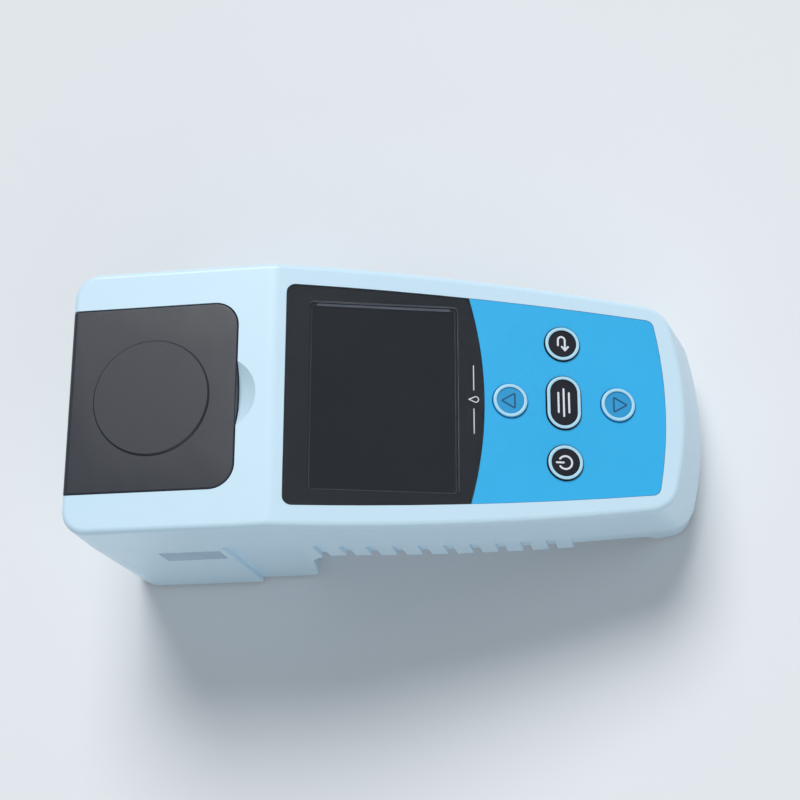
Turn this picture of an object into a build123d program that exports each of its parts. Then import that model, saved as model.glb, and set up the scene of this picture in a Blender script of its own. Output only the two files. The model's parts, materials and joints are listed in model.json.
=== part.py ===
from build123d import *
from math import cos, radians, sin, tan
import os

# Handheld turbidity meter, standing on a bench as it is used. X runs across it (+X is its right),
# Y along it (+Y is the head with the lid, -Y the tail of the handle), Z up.
# The origin is the middle of its footprint. All sizes are in millimetres.
# The head's top face is level. From the ridge the handle's top face slopes down to the tail, and a
# place on it is given by x, by s (the way from the ridge towards the tail) and by a depth below it.

# Overall form
LENGTH = 203.0
WIDTH = 90.0
HEAD_TOP = 80.0
HEAD_LENGTH = 68.8
SLOPE = 17.1
RIDGE_RADIUS = 11.0
WALL = 2.4
PART_DEPTH = 23.0
UPPER_DRAFT = 1.5
LOWER_DRAFT = 0.5
SIDE_STRAIGHT = 55.5
SIDE_RADIUS = 880.0
TAIL_RADIUS = 120.0
TAIL_LEAN = 10.6
REAR_CORNER = 9.0
TAIL_CORNER = 10.0
TOP_ROUND = 2.0

# Underside: the head stands on feet, and the handle leaves room for the fingers below it
BASE_GAP = 1.2
GRIP_DEPTH = 36.3
HEAD_FRONT_Y = 34.0
THROAT_Y = 28.3
TAIL_FOOT_LENGTH = 16.5
THROAT_RADIUS = 10.0
BASE_ROUND = 3.0

# Grip ribs on the sides of the lower housing
GRIP_INSET = 1.7
GRIP_RADIUS = 1010.0
GRIP_HEAD_Y = 54.0
RIB_COUNT = 11
RIB_PITCH = 8.2
RIB_WIDTH = 5.2
RIB_FIRST_Y = 27.4

# Tongue of the lower housing inside the upper one
TONGUE_GAP = 0.15
TONGUE_WIDTH = 1.3
TONGUE_HEIGHT = 2.4
RIM_HEIGHT = 3.0

# Lid and its hinge
LID_WIDTH = 62.4
LID_FRONT_Y = 44.4
LID_CORNER = 8.0
LID_THICK = 3.4
LID_EDGE = 0.5
LINER_THICK = 1.2
LID_SKIN = 1.9
LID_RIM = 4.0
LID_GAP = 0.3
LID_AIR = 1.6
DECK_THICK = 2.4
POCKET_WALL = 1.9
DISC_RADIUS = 19.5
DISC_RISE = 0.7
DISC_EDGE = 0.5
HINGE_Y = 98.2
HINGE_Z = 70.0
KNUCKLE_RADIUS = 2.9
KNUCKLE_SPLIT = 20.8
KNUCKLE_GAP = 0.3
PIN_RADIUS = 1.2
PIN_LENGTH = 61.0
PIN_CLEARANCE = 0.05
NOTCH_FLOOR_Z = 66.0
NOTCH_FRONT_Y = 94.6
SKIRT_FRONT_Y = 98.6
SKIRT_BOTTOM_Z = 73.4
SCOOP_HALF = 11.0
SCOOP_LENGTH = 6.5
SCOOP_DEPTH = 4.4

# Display and keypad on the handle
OVERLAY_DEPTH = 1.0
OVERLAY_START = 4.1
OVERLAY_END = 129.0
OVERLAY_BOW = 3.2
OVERLAY_HALF_START = 37.2
OVERLAY_HALF_MIDDLE = 35.0
OVERLAY_HALF_END = 29.9
OVERLAY_CORNER = 3.0
OVERLAY_GAP = 0.15
DISPLAY_END = 64.0
DISPLAY_BULGE = 4.8
WINDOW_S = 36.15
WINDOW_WIDTH = 63.8
WINDOW_LENGTH = 48.8
WINDOW_CORNER = 1.5
LENS_THICK = 0.75
PRINT_THICK = 0.15
MEMBRANE_THICK = 0.9
GASKET_WIDTH = 2.0
MODULE_WIDTH = 72.0
MODULE_LENGTH = 56.0
MODULE_THICK = 3.6
PANEL_WIDTH = 67.0
PANEL_LENGTH = 52.0
PANEL_THICK = 1.8

# Keys: name, place across, place along the handle, width, length
KEYS = (
    ("up_key", 0.0, 77.3, 11.5, 11.5),
    ("return_key", 20.25, 94.95, 11.8, 11.8),
    ("middle_key", 0.0, 94.95, 18.2, 11.5),
    ("power_key", -20.25, 94.95, 11.8, 11.8),
    ("down_key", 0.0, 113.0, 11.5, 11.5),
)
KEY_PROUD = 0.6
KEY_GAP = 0.2
KEY_TRAVEL = 0.5
KEY_BORDER = 1.25
KEY_DISH = 0.3
KEY_FLANGE = 1.0
KEY_FLANGE_THICK = 0.7
KEY_EDGE = 0.3
DOME_SHARE = 0.75

# Boards
BOARD_THICK = 1.6
BOARD_START = 1.8
BOARD_END = 119.0
BOARD_HALF_START = 37.0
BOARD_HALF_END = 29.5
BOARD_POSTS = ((31.0, 4.6), (33.0, 71.0), (27.0, 114.5))
POST_RADIUS = 2.6
MAT_THICK = 1.2
MAT_HALF = 29.0
MAT_START = 69.0
MAT_END = 118.0
# Parts on the back of the main board: x, s, width, length, height
BOARD_PARTS = (
    (0.0, 30.0, 14.0, 14.0, 1.4),
    (18.0, 24.0, 9.0, 7.0, 1.2),
    (-20.0, 26.0, 8.0, 10.0, 1.2),
    (0.0, 10.0, 20.0, 4.0, 2.0),
)
BUZZER_RADIUS = 6.0
BUZZER_HEIGHT = 4.5
BUZZER_S = 112.0

# Optical block with the vial well
WELL_Y = 72.6
WELL_RADIUS = 12.9
WELL_FLOOR_Z = 13.0
BLOCK_RADIUS = 18.5
BLOCK_BASE_Z = 9.0
FLANGE_HALF = 22.5
FLANGE_THICK = 3.0
FLANGE_HOLE = 18.6
BEAM_Z = 34.0
PORT_RADIUS = 2.5
BARREL_RADIUS = 5.0
BARREL_SEAT = 3.0
BARREL_LENGTH = 9.5
BARREL_CLEARANCE = 0.1
COLLAR_WIDTH = 6.0
COLLAR_LIP = 0.5
COLLAR_WALL = 2.5
PORT_BOSS = 2.5
BARREL_FLANGE = 1.2
BEAM_ANGLES = {"light_source": 0, "scatter_detector": -90, "transmission_detector": 180}
LENS_LENGTH = 2.2
LENS_CURVE = 4.5
SEAL_WIDTH = 3.5
SENSOR_BOARD_WIDTH = 34.0
SENSOR_BOARD_TOP = 52.0
RIBBON_THICK = 0.3
RIBBON_WIDTH = 10.0
RIBBON_TAIL = 6.0
RIBBON_BEND = 3.0

# Batteries: three AA cells side by side under the keypad
CELL_RADIUS = 7.2
CELL_LENGTH = 50.0
CELL_PITCH = 15.2
CELL_DEPTH = 26.2
CELL_COUNT = 3
BAY_WIDTH = 49.0
BAY_START = 48.0
BAY_END = 107.0
TRAY_WALL = 1.4
DOOR_LEDGE = 1.2
DOOR_GAP = 0.3
DOOR_SEAT_GAP = 0.1
TAB_LENGTH = 1.6
TAB_ROOT = 2.4
TAB_ROOM = 2.4
TAB_THICK = 1.2
TAB_WIDTH = 8.0
TAB_X = 14.0
DOOR_RIDGES = 4
DOOR_RIDGE = 0.8
DOOR_RIDGE_PITCH = 2.4
TRAY_FOOT = 4.0
CELL_NUB = 1.0
CONTACT_THICK = 0.4
CONTACT_WIDTH = 7.0
CONTACT_HEIGHT = 9.0

# USB port on the left side of the head
PORT_Y = 66.5
PORT_Z = 46.5
PORT_OPEN_WIDTH = 12.0
PORT_OPEN_HEIGHT = 7.0
COVER_WIDTH = 20.0
COVER_HEIGHT = 11.0
COVER_THICK = 1.4
COVER_GAP = 0.3
PLUG_LENGTH = 1.6
PORT_PAD = 2.0
PORT_RIB = 5.0
PORT_BOARD_WIDTH = 16.0
PORT_BOARD_DEPTH = 13.0
SOCKET_WIDTH = 9.0
SOCKET_HEIGHT = 3.2
SOCKET_DEPTH = 7.5
SOCKET_WALL = 0.35

# Screws and feet
HOUSING_SCREWS = ((37.0, 92.0), (37.0, 40.2), (26.5, -87.5))
BOSS_RADIUS = 3.7
SCREW_RADIUS = 1.4
SCREW_HEAD_RADIUS = 2.6
SCREW_HEAD_HEIGHT = 2.0
SCREW_LENGTH = 12.0
SCREW_SHELF = 7.0
SMALL_SCREW_RADIUS = 1.0
SMALL_HEAD_RADIUS = 1.9
SMALL_HEAD_HEIGHT = 1.3
SMALL_SCREW_LENGTH = 5.0
HOLE_CLEARANCE = 0.2
FOOT_RADIUS = 5.0
FOOT_X = 28.0
FOOT_PLACES_Y = (46.0, 91.0)
FOOT_RECESS = 0.8
TAIL_PAD_LENGTH = 9.0
TAIL_PAD_WIDTH = 38.0

FIT_GAP = 0.05

# Values that follow from the ones above
COS = cos(radians(SLOPE))
SIN = sin(radians(SLOPE))
TAN = tan(radians(SLOPE))
REAR_Y = LENGTH / 2
TAIL_Y = -LENGTH / 2
RIDGE_Y = REAR_Y - HEAD_LENGTH
PART_Z = HEAD_TOP - PART_DEPTH
TAIL_PART_Z = HEAD_TOP - (RIDGE_Y - TAIL_Y) * TAN - PART_DEPTH / COS
SIDE_START_Y = REAR_Y - SIDE_STRAIGHT
DECK_TOP = HEAD_TOP - LID_THICK - LID_AIR
DECK_BOTTOM = DECK_TOP - DECK_THICK
BOARD_DEPTH = WALL + 0.1 + MODULE_THICK
BOARD_BACK = BOARD_DEPTH + BOARD_THICK
BAY_DEPTH = GRIP_DEPTH - WALL
WELL_Z = DECK_TOP + COLLAR_LIP
MODULE_TOP = WALL + 0.1
LID_RECESS_END = NOTCH_FRONT_Y - LID_GAP
TAIL_PAD_Y = (TAIL_Y + BASE_ROUND + 1.5, TAIL_Y + BASE_ROUND + 1.5 + TAIL_PAD_LENGTH)
PORT_SPAN_Y = (PORT_Y - COVER_WIDTH / 2 - WALL, PORT_Y + COVER_WIDTH / 2 + WALL)
PORT_SPAN_Z = (PORT_Z - COVER_HEIGHT / 2 - WALL, PORT_Z + COVER_HEIGHT / 2 + WALL)
PORT_BOARD_TOP = PORT_Z - SOCKET_HEIGHT / 2
PORT_BOARD_BOTTOM = PORT_BOARD_TOP - BOARD_THICK
PORT_BOARD_X = (-WIDTH / 2 + WALL + PORT_PAD + FIT_GAP, -WIDTH / 2 + WALL + PORT_PAD + PORT_BOARD_DEPTH)
SOCKET_MOUTH_X = -WIDTH / 2 + COVER_THICK + PLUG_LENGTH + COVER_GAP

HANDLE = Plane(origin=(0, RIDGE_Y, HEAD_TOP), x_dir=(1, 0, 0), z_dir=(0, -SIN, COS))


def on_handle(x, s, depth=0.0):
    """Place on the handle: x across, s from the ridge towards the tail, depth below the top face."""
    return HANDLE.location * Pos(x, -s, -depth)


def box(x, y, z):
    """Box between the given limits of x, y and z."""
    size = (x[1] - x[0], y[1] - y[0], z[1] - z[0])
    return Pos((x[0] + x[1]) / 2, (y[0] + y[1]) / 2, (z[0] + z[1]) / 2) * Box(*size)


def handle_box(half_width, start, end, top, bottom):
    """Box square to the handle, from s = start to end and from depth top to bottom."""
    middle = on_handle(0, (start + end) / 2, (top + bottom) / 2)
    return middle * Box(2 * half_width, end - start, bottom - top)


def handle_disc(x, s, radius, top, bottom):
    """Round post or hole square to the handle, from depth top to bottom."""
    return on_handle(x, s, (top + bottom) / 2) * Cylinder(radius, bottom - top)


def both_sides(places):
    """Each place (x, y), and its mirror image across the middle."""
    return [(side * x, y) for x, y in places for side in (-1, 1)]


def across(face):
    """Prism through the whole width, from a face drawn in the side view (Y, Z)."""
    return extrude(Plane.YZ * face, amount=WIDTH, both=True)


def side_profile(inset):
    """Side view of the instrument, inset all round: level head, sloped handle, room for the fingers."""
    foot_y = TAIL_Y + TAIL_FOOT_LENGTH
    slope_y = foot_y + 4.0

    def under_z(y):
        return HEAD_TOP - (RIDGE_Y - y) * TAN - GRIP_DEPTH / COS

    points = [
        (-LENGTH, HEAD_TOP - (RIDGE_Y + LENGTH) * TAN),
        (RIDGE_Y, HEAD_TOP),
        (LENGTH, HEAD_TOP),
        (LENGTH, BASE_GAP),
        (HEAD_FRONT_Y, BASE_GAP),
        (THROAT_Y, under_z(THROAT_Y)),
        (slope_y, under_z(slope_y)),
        (foot_y, BASE_GAP),
        (-LENGTH, BASE_GAP),
    ]
    radii = [0, RIDGE_RADIUS, 0, 0, BASE_ROUND, THROAT_RADIUS, BASE_ROUND, BASE_ROUND, 0]
    face = make_face(FilletPolyline(*points, radius=radii, close=True))
    if inset:
        face = offset(face, amount=-inset)
    return across(face)


def outline(half_width, side_radius, rear_y, corner):
    """Plan of the sides and rear: straight along the head, then two long arcs that close in on the tail."""
    centre = half_width - side_radius
    arcs = Pos(centre, SIDE_START_Y) * Circle(side_radius)
    arcs &= Pos(-centre, SIDE_START_Y) * Circle(side_radius)
    handle = arcs & Pos(0, SIDE_START_Y - LENGTH / 2) * Rectangle(2 * WIDTH, LENGTH)
    head_length = rear_y - SIDE_START_Y
    head = Pos(0, SIDE_START_Y + head_length / 2) * Rectangle(2 * half_width, head_length)
    head = fillet(head.vertices().group_by(Axis.Y)[-1], corner)
    return handle + head


def tail_corners(solid):
    """Upright edges where the sides meet the tail."""
    return [e for e in solid.edges() if e.center().Y < TAIL_Y / 2 and abs((e % 0.5).Z) > 0.9]


def tail_end(shape):
    """Space that a round tail leaves: the round shape, and all that lies from its axis to the rear."""
    axis_y = TAIL_Y + TAIL_RADIUS
    return Pos(0, axis_y, HEAD_TOP / 2) * shape + box((-WIDTH, WIDTH), (axis_y, LENGTH), (0, HEAD_TOP))


def upper_form(inset=0.0):
    """Space that the upper housing takes, inset all round, with sides that lean in towards the top."""
    lean = tan(radians(UPPER_DRAFT))
    spread = PART_Z * lean
    plan = outline(
        WIDTH / 2 + spread - inset,
        SIDE_RADIUS + spread - inset,
        REAR_Y + spread - inset,
        REAR_CORNER + spread - inset,
    )
    walls = extrude(plan, amount=HEAD_TOP, taper=UPPER_DRAFT)
    tail_lean = tan(radians(TAIL_LEAN))
    low_radius = TAIL_RADIUS + TAIL_PART_Z * tail_lean - inset / cos(radians(TAIL_LEAN))
    cone = Cone(low_radius, low_radius - HEAD_TOP * tail_lean, HEAD_TOP)
    walls &= tail_end(cone)
    walls = fillet(tail_corners(walls), TAIL_CORNER - inset)
    return walls & side_profile(inset)


def lower_form(inset=0.0, floor=0.0):
    """Space that the lower housing takes, inset at the sides, with sides that lean in towards the base."""
    plan = outline(WIDTH / 2 - inset, GRIP_RADIUS - inset, REAR_Y - inset, REAR_CORNER - inset)
    walls = extrude(Pos(0, 0, PART_Z) * plan, amount=PART_Z, dir=(0, 0, -1), taper=LOWER_DRAFT)
    walls &= tail_end(Cylinder(TAIL_RADIUS - inset, HEAD_TOP))
    walls = fillet(tail_corners(walls), TAIL_CORNER - inset)
    return walls & side_profile(floor)


def above(depth):
    """Everything less than depth below the top face, over the head and over the handle."""
    bend_y = RIDGE_Y + depth * tan(radians(SLOPE / 2))
    bend_z = HEAD_TOP - depth
    tail_z = bend_z - (bend_y + LENGTH) * TAN
    top = 2 * HEAD_TOP
    points = ((-LENGTH, tail_z), (bend_y, bend_z), (LENGTH, bend_z), (LENGTH, top), (-LENGTH, top))
    return across(make_face(Polyline(*points, close=True)))


def top_edges(solid):
    """Edges that run round the top face, without the two lines of the ridge."""
    edges = []
    for edge in solid.edges():
        centre = edge.center()
        at_ridge = abs(centre.X) < 1 and abs(centre.Y - RIDGE_Y) < RIDGE_RADIUS
        top_z = HEAD_TOP - max(0.0, RIDGE_Y - centre.Y) * TAN
        if abs(centre.Z - top_z) < 1.0 and not at_ridge:
            edges.append(edge)
    return edges


def prism(plan, bottom, top):
    """Upright prism on a plan, between two heights."""
    return extrude(Pos(0, 0, bottom) * plan, amount=top - bottom)


def handle_prism(plan, top, bottom):
    """Prism square to the handle on a plan drawn on its top face, from depth top to bottom."""
    return extrude(on_handle(0, 0, bottom) * plan, amount=bottom - top)


def part_height(y):
    """Height of the parting line at a place along the instrument."""
    bend_y = RIDGE_Y + PART_DEPTH * tan(radians(SLOPE / 2))
    return PART_Z - max(0.0, bend_y - y) * TAN


def lid_outline(grow, rear_y=LENGTH):
    """Plan of the lid, grown all round, with round front corners, as far as rear_y."""
    front_y = LID_FRONT_Y - grow
    length = rear_y - front_y
    plan = Pos(0, front_y + length / 2) * Rectangle(LID_WIDTH + 2 * grow, length)
    return fillet(plan.vertices().group_by(Axis.Y)[0], LID_CORNER + grow)


def overlay_outline(inset):
    """Plan of the recess for display window and keypad, on the handle's top face."""
    start_half = OVERLAY_HALF_START - inset
    middle_half = OVERLAY_HALF_MIDDLE - inset
    end_half = OVERLAY_HALF_END - inset
    start = -OVERLAY_START - inset
    end = -OVERLAY_END + OVERLAY_BOW + inset
    right = ThreePointArc((start_half, start), (middle_half, -DISPLAY_END), (end_half, end))
    bottom = ThreePointArc((end_half, end), (0, end - OVERLAY_BOW), (-end_half, end))
    left = ThreePointArc((-end_half, end), (-middle_half, -DISPLAY_END), (-start_half, start))
    face = make_face([right, bottom, left, Line((-start_half, start), (start_half, start))])
    return fillet(face.vertices(), OVERLAY_CORNER - inset)


def display_circle(gap):
    """Large circle whose edge parts the display window from the keypad."""
    half = OVERLAY_HALF_MIDDLE
    radius = (half**2 + DISPLAY_BULGE**2) / (2 * DISPLAY_BULGE)
    return Pos(0, radius - DISPLAY_END - DISPLAY_BULGE) * Circle(radius + gap)


def window_plan(grow):
    """Plan of the display's visible area, grown all round."""
    plan = Pos(0, -WINDOW_S) * Rectangle(WINDOW_WIDTH + 2 * grow, WINDOW_LENGTH + 2 * grow)
    return fillet(plan.vertices(), WINDOW_CORNER + grow)


def key_plan(key, grow):
    """Plan of one key, grown all round: round, or long across the handle with round ends."""
    _, x, s, width, length = key
    if width == length:
        return Pos(x, -s) * Circle(width / 2 + grow)
    return Pos(x, -s) * SlotOverall(width + 2 * grow, length + 2 * grow)


def cylinder_x(x, y, z, radius):
    """Round bar along X between two values of x."""
    return Pos((x[0] + x[1]) / 2, y, z) * Rot(0, 90, 0) * Cylinder(radius, x[1] - x[0])


def screw(radius, length, head_radius, head_height):
    """Screw with a round head below its seat, a hexagon socket, and its shank along +Z."""
    body = Pos(0, 0, length / 2) * Cylinder(radius, length)
    body += Pos(0, 0, -head_height / 2) * Cylinder(head_radius, head_height)
    socket = extrude(Pos(0, 0, -head_height) * RegularPolygon(head_radius / 2, 6), amount=head_height / 2)
    return body - socket


def upper_housing():
    """Top moulding: sides down to the parting line, lid pocket, hinge lugs, recess, holes and bosses."""
    inner = upper_form(WALL)
    shell = (OUTER & above(PART_DEPTH)) - inner
    half_pocket = LID_WIDTH / 2 + LID_GAP
    block_half = half_pocket + POCKET_WALL
    shell += prism(lid_outline(LID_GAP + POCKET_WALL), DECK_BOTTOM, HEAD_TOP) & OUTER
    notch_z = (NOTCH_FLOOR_Z - POCKET_WALL, DECK_TOP)
    notch = box((-block_half, block_half), (NOTCH_FRONT_Y - POCKET_WALL, LENGTH), notch_z)
    shell += notch & OUTER
    scoop_back = LID_FRONT_Y + POCKET_WALL
    scoop_front = LID_FRONT_Y - SCOOP_LENGTH - WALL
    scoop_side = SCOOP_HALF + WALL
    scoop_z = (DECK_BOTTOM, HEAD_TOP - TOP_ROUND / 2)
    shell += box((-scoop_side, scoop_side), (scoop_front, scoop_back), scoop_z)
    for x, y in both_sides(HOUSING_SCREWS):
        boss = Pos(x, y, HEAD_TOP / 2) * Cylinder(BOSS_RADIUS, HEAD_TOP)
        shell += boss & above(PART_DEPTH) & upper_form(WALL / 2)
    for x, s in both_sides(BOARD_POSTS):
        shell += handle_disc(x, s, POST_RADIUS, WALL / 2, BOARD_DEPTH)

    shell -= prism(lid_outline(LID_GAP), DECK_TOP, 2 * HEAD_TOP)
    shell -= box((-half_pocket, half_pocket), (NOTCH_FRONT_Y, LENGTH), (NOTCH_FLOOR_Z, 2 * HEAD_TOP))
    chord = (SCOOP_HALF**2 + SCOOP_LENGTH**2) / (2 * SCOOP_LENGTH)
    ball = (chord**2 + SCOOP_DEPTH**2) / (2 * SCOOP_DEPTH)
    shell -= Pos(0, LID_FRONT_Y - SCOOP_LENGTH + chord, HEAD_TOP + ball - SCOOP_DEPTH) * Sphere(ball)
    shell -= Pos(0, WELL_Y, DECK_TOP) * Cylinder(WELL_RADIUS + COLLAR_WALL + FIT_GAP, 4 * DECK_THICK)
    lug_start = KNUCKLE_SPLIT + KNUCKLE_GAP / 2
    for side in (-1, 1):
        lug_x = sorted((side * lug_start, side * (half_pocket + FIT_GAP)))
        shell += cylinder_x(lug_x, HINGE_Y, HINGE_Z, KNUCKLE_RADIUS)
        lug_y = (HINGE_Y - KNUCKLE_RADIUS, HINGE_Y + KNUCKLE_RADIUS / 2)
        shell += box(lug_x, lug_y, (NOTCH_FLOOR_Z - 1, HINGE_Z))
    shell -= cylinder_x((-PIN_LENGTH / 2, PIN_LENGTH / 2), HINGE_Y, HINGE_Z, PIN_RADIUS)

    shell -= handle_prism(overlay_outline(0), -WALL, OVERLAY_DEPTH)
    shell -= handle_prism(window_plan(GASKET_WIDTH), 0, 2 * WALL)
    for key in KEYS:
        shell -= handle_prism(key_plan(key, KEY_GAP), 0, 2 * WALL)
    for x, y in both_sides(HOUSING_SCREWS):
        depth = SCREW_LENGTH - SCREW_SHELF + 1.0
        shell -= Pos(x, y, part_height(y) + depth / 2) * Cylinder(SCREW_RADIUS + FIT_GAP, 2 * depth)
    for x, s in both_sides(BOARD_POSTS):
        hole_top = BOARD_BACK - SMALL_SCREW_LENGTH
        shell -= handle_disc(x, s, SMALL_SCREW_RADIUS + FIT_GAP, hole_top, BOARD_DEPTH + 1)
    return shell


def lower_housing():
    """Bottom moulding: deep head, ribbed grip, tail foot, tongue for the upper housing, bosses, openings."""
    grip_zone = box((-WIDTH, WIDTH), (GRIP_HEAD_Y, LENGTH), (0, HEAD_TOP))
    for i in range(RIB_COUNT):
        y = RIB_FIRST_Y - i * RIB_PITCH
        grip_zone += box((-WIDTH, WIDTH), (y - RIB_WIDTH / 2, y + RIB_WIDTH / 2), (0, HEAD_TOP))
    shell = lower_form(GRIP_INSET) + (lower_form() & grip_zone)
    shell -= above(PART_DEPTH)
    cavity = lower_form(GRIP_INSET + WALL, WALL)
    cavity += lower_form(WALL, WALL) & box((-WIDTH, WIDTH), (GRIP_HEAD_Y + WALL, LENGTH), (0, HEAD_TOP))
    shell -= cavity

    ring = upper_form(WALL + TONGUE_GAP)
    ring -= upper_form(WALL + TONGUE_GAP + TONGUE_WIDTH)
    shell += ring & (above(PART_DEPTH + RIM_HEIGHT) - above(PART_DEPTH - TONGUE_HEIGHT))
    rim = lower_form(GRIP_INSET + WALL / 4) - upper_form(WALL + TONGUE_GAP + TONGUE_WIDTH)
    shell += rim & (above(PART_DEPTH + RIM_HEIGHT) - above(PART_DEPTH))

    room = lower_form(WALL / 2, WALL / 2) - above(PART_DEPTH)
    for x, y in both_sides(HOUSING_SCREWS):
        shell += Pos(x, y, HEAD_TOP / 2) * Cylinder(BOSS_RADIUS, HEAD_TOP) & room
    for x in (-FLANGE_HOLE, FLANGE_HOLE):
        for y in (WELL_Y - FLANGE_HOLE, WELL_Y + FLANGE_HOLE):
            height = BLOCK_BASE_Z - BASE_GAP - WALL / 2
            post = Pos(x, y, BLOCK_BASE_Z - height / 2) * Cylinder(POST_RADIUS, height)
            shell += post
            shell -= Pos(x, y, BLOCK_BASE_Z) * Cylinder(SMALL_SCREW_RADIUS + FIT_GAP, 2 * SMALL_SCREW_LENGTH)
    for x, y in both_sides(HOUSING_SCREWS):
        shelf = part_height(y) - SCREW_SHELF
        shell -= Pos(x, y, 0) * Cylinder(SCREW_HEAD_RADIUS + HOLE_CLEARANCE, 2 * shelf)
        shell -= Pos(x, y, shelf) * Cylinder(SCREW_RADIUS + HOLE_CLEARANCE, 2 * HEAD_TOP)
    mouth_half = BAY_WIDTH / 2 + DOOR_LEDGE
    mouth_start, mouth_end = BAY_START - DOOR_LEDGE, BAY_END + DOOR_LEDGE
    shell -= handle_box(mouth_half, mouth_start, mouth_end, BAY_DEPTH - 1, 2 * GRIP_DEPTH)

    wall_x = -WIDTH / 2 + WALL
    pad = box((wall_x - WALL / 2, wall_x + PORT_PAD), PORT_SPAN_Y, PORT_SPAN_Z)
    shell += pad
    for y in (PORT_Y - PORT_BOARD_WIDTH / 2, PORT_Y + PORT_BOARD_WIDTH / 2 - WALL):
        rib_z = (PORT_BOARD_BOTTOM - PORT_RIB, PORT_BOARD_BOTTOM)
        shell += box((wall_x - WALL / 2, PORT_BOARD_X[1]), (y, y + WALL), rib_z)
    open_y = (PORT_Y - PORT_OPEN_WIDTH / 2, PORT_Y + PORT_OPEN_WIDTH / 2)
    open_z = (PORT_Z - PORT_OPEN_HEIGHT / 2, PORT_Z + PORT_OPEN_HEIGHT / 2)
    shell -= box((-WIDTH, wall_x + 2 * PORT_PAD), open_y, open_z)
    seat_y = (PORT_Y - COVER_WIDTH / 2 - COVER_GAP, PORT_Y + COVER_WIDTH / 2 + COVER_GAP)
    seat_z = (PORT_Z - COVER_HEIGHT / 2 - COVER_GAP, PORT_Z + COVER_HEIGHT / 2 + COVER_GAP)
    shell -= box((-WIDTH, -WIDTH / 2 + COVER_THICK + DOOR_SEAT_GAP), seat_y, seat_z)

    for x in (-FOOT_X, FOOT_X):
        for y in FOOT_PLACES_Y:
            shell -= Pos(x, y, BASE_GAP + FOOT_RECESS / 2) * Cylinder(FOOT_RADIUS, FOOT_RECESS)
    pad_half = TAIL_PAD_WIDTH / 2
    shell -= box((-pad_half, pad_half), TAIL_PAD_Y, (0, BASE_GAP + FOOT_RECESS))
    return shell


def lid_cover():
    """Lid plate flush with the head, its raised disc, its skirt at the rear and its hinge knuckle."""
    plate = prism(lid_outline(0), HEAD_TOP - LID_THICK, HEAD_TOP) & OUTER
    rim = [e for e in plate.edges() if abs(e.center().Z - HEAD_TOP) < 0.01 and e.center().Y < HINGE_Y - 5]
    plate = fillet(rim, LID_EDGE)
    half = LID_WIDTH / 2
    plate += box((-half, half), (SKIRT_FRONT_Y, LENGTH), (SKIRT_BOTTOM_Z, HEAD_TOP - LID_THICK)) & OUTER
    knuckle_half = KNUCKLE_SPLIT - KNUCKLE_GAP / 2
    web = box((-knuckle_half, knuckle_half), (HINGE_Y, LENGTH), (HINGE_Z, SKIRT_BOTTOM_Z))
    skirt_z = (SKIRT_BOTTOM_Z - 1, HEAD_TOP - LID_THICK)
    web += box((-knuckle_half, knuckle_half), (SKIRT_FRONT_Y, LENGTH), skirt_z)
    plate += web & OUTER
    plate += cylinder_x((-knuckle_half, knuckle_half), HINGE_Y, HINGE_Z, KNUCKLE_RADIUS)
    disc = Cylinder(DISC_RADIUS, DISC_RISE + LID_SKIN / 2)
    disc = chamfer(disc.edges().group_by(Axis.Z)[-1], DISC_EDGE)
    plate += Pos(0, WELL_Y, HEAD_TOP + (DISC_RISE - LID_SKIN / 2) / 2) * disc
    plate -= prism(lid_outline(-LID_RIM, LID_RECESS_END), 0, HEAD_TOP - LID_SKIN)
    plate -= cylinder_x((-WIDTH, WIDTH), HINGE_Y, HINGE_Z, PIN_RADIUS + PIN_CLEARANCE)
    return plate


def lid_liner():
    """Flat inner plate of the lid, which closes its recess and carries the seal."""
    inset = LID_RIM + HOLE_CLEARANCE
    top = HEAD_TOP - LID_SKIN
    return prism(lid_outline(-inset, LID_RECESS_END - HOLE_CLEARANCE), top - LINER_THICK, top)


def ring_z(y, inner, outer, bottom, top):
    """Upright ring round the middle line at y."""
    solid = Cylinder(outer, top - bottom) - Cylinder(inner, top - bottom)
    return Pos(0, y, (bottom + top) / 2) * solid


def lid_seal():
    """Foam ring under the lid that keeps light out of the well."""
    inner = WELL_RADIUS + COLLAR_LIP
    top = HEAD_TOP - LID_SKIN - LINER_THICK
    return ring_z(WELL_Y, inner, inner + SEAL_WIDTH, WELL_Z + DOOR_SEAT_GAP, top)


def well_collar():
    """Black ring that lines the mouth of the well and joins the deck to the optical block."""
    sleeve = ring_z(WELL_Y, WELL_RADIUS, WELL_RADIUS + COLLAR_WALL, DECK_BOTTOM, WELL_Z)
    flange = ring_z(WELL_Y, WELL_RADIUS, WELL_RADIUS + COLLAR_WIDTH, DECK_TOP, WELL_Z)
    return sleeve + flange


def radial(angle, start, end, radius, z=BEAM_Z):
    """Round bar that points away from the axis of the well at an angle seen from above."""
    bar = Pos((start + end) / 2, 0, 0) * Rot(0, 90, 0) * Cylinder(radius, end - start)
    return Pos(0, WELL_Y, z) * Rot(0, 0, angle) * bar


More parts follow.
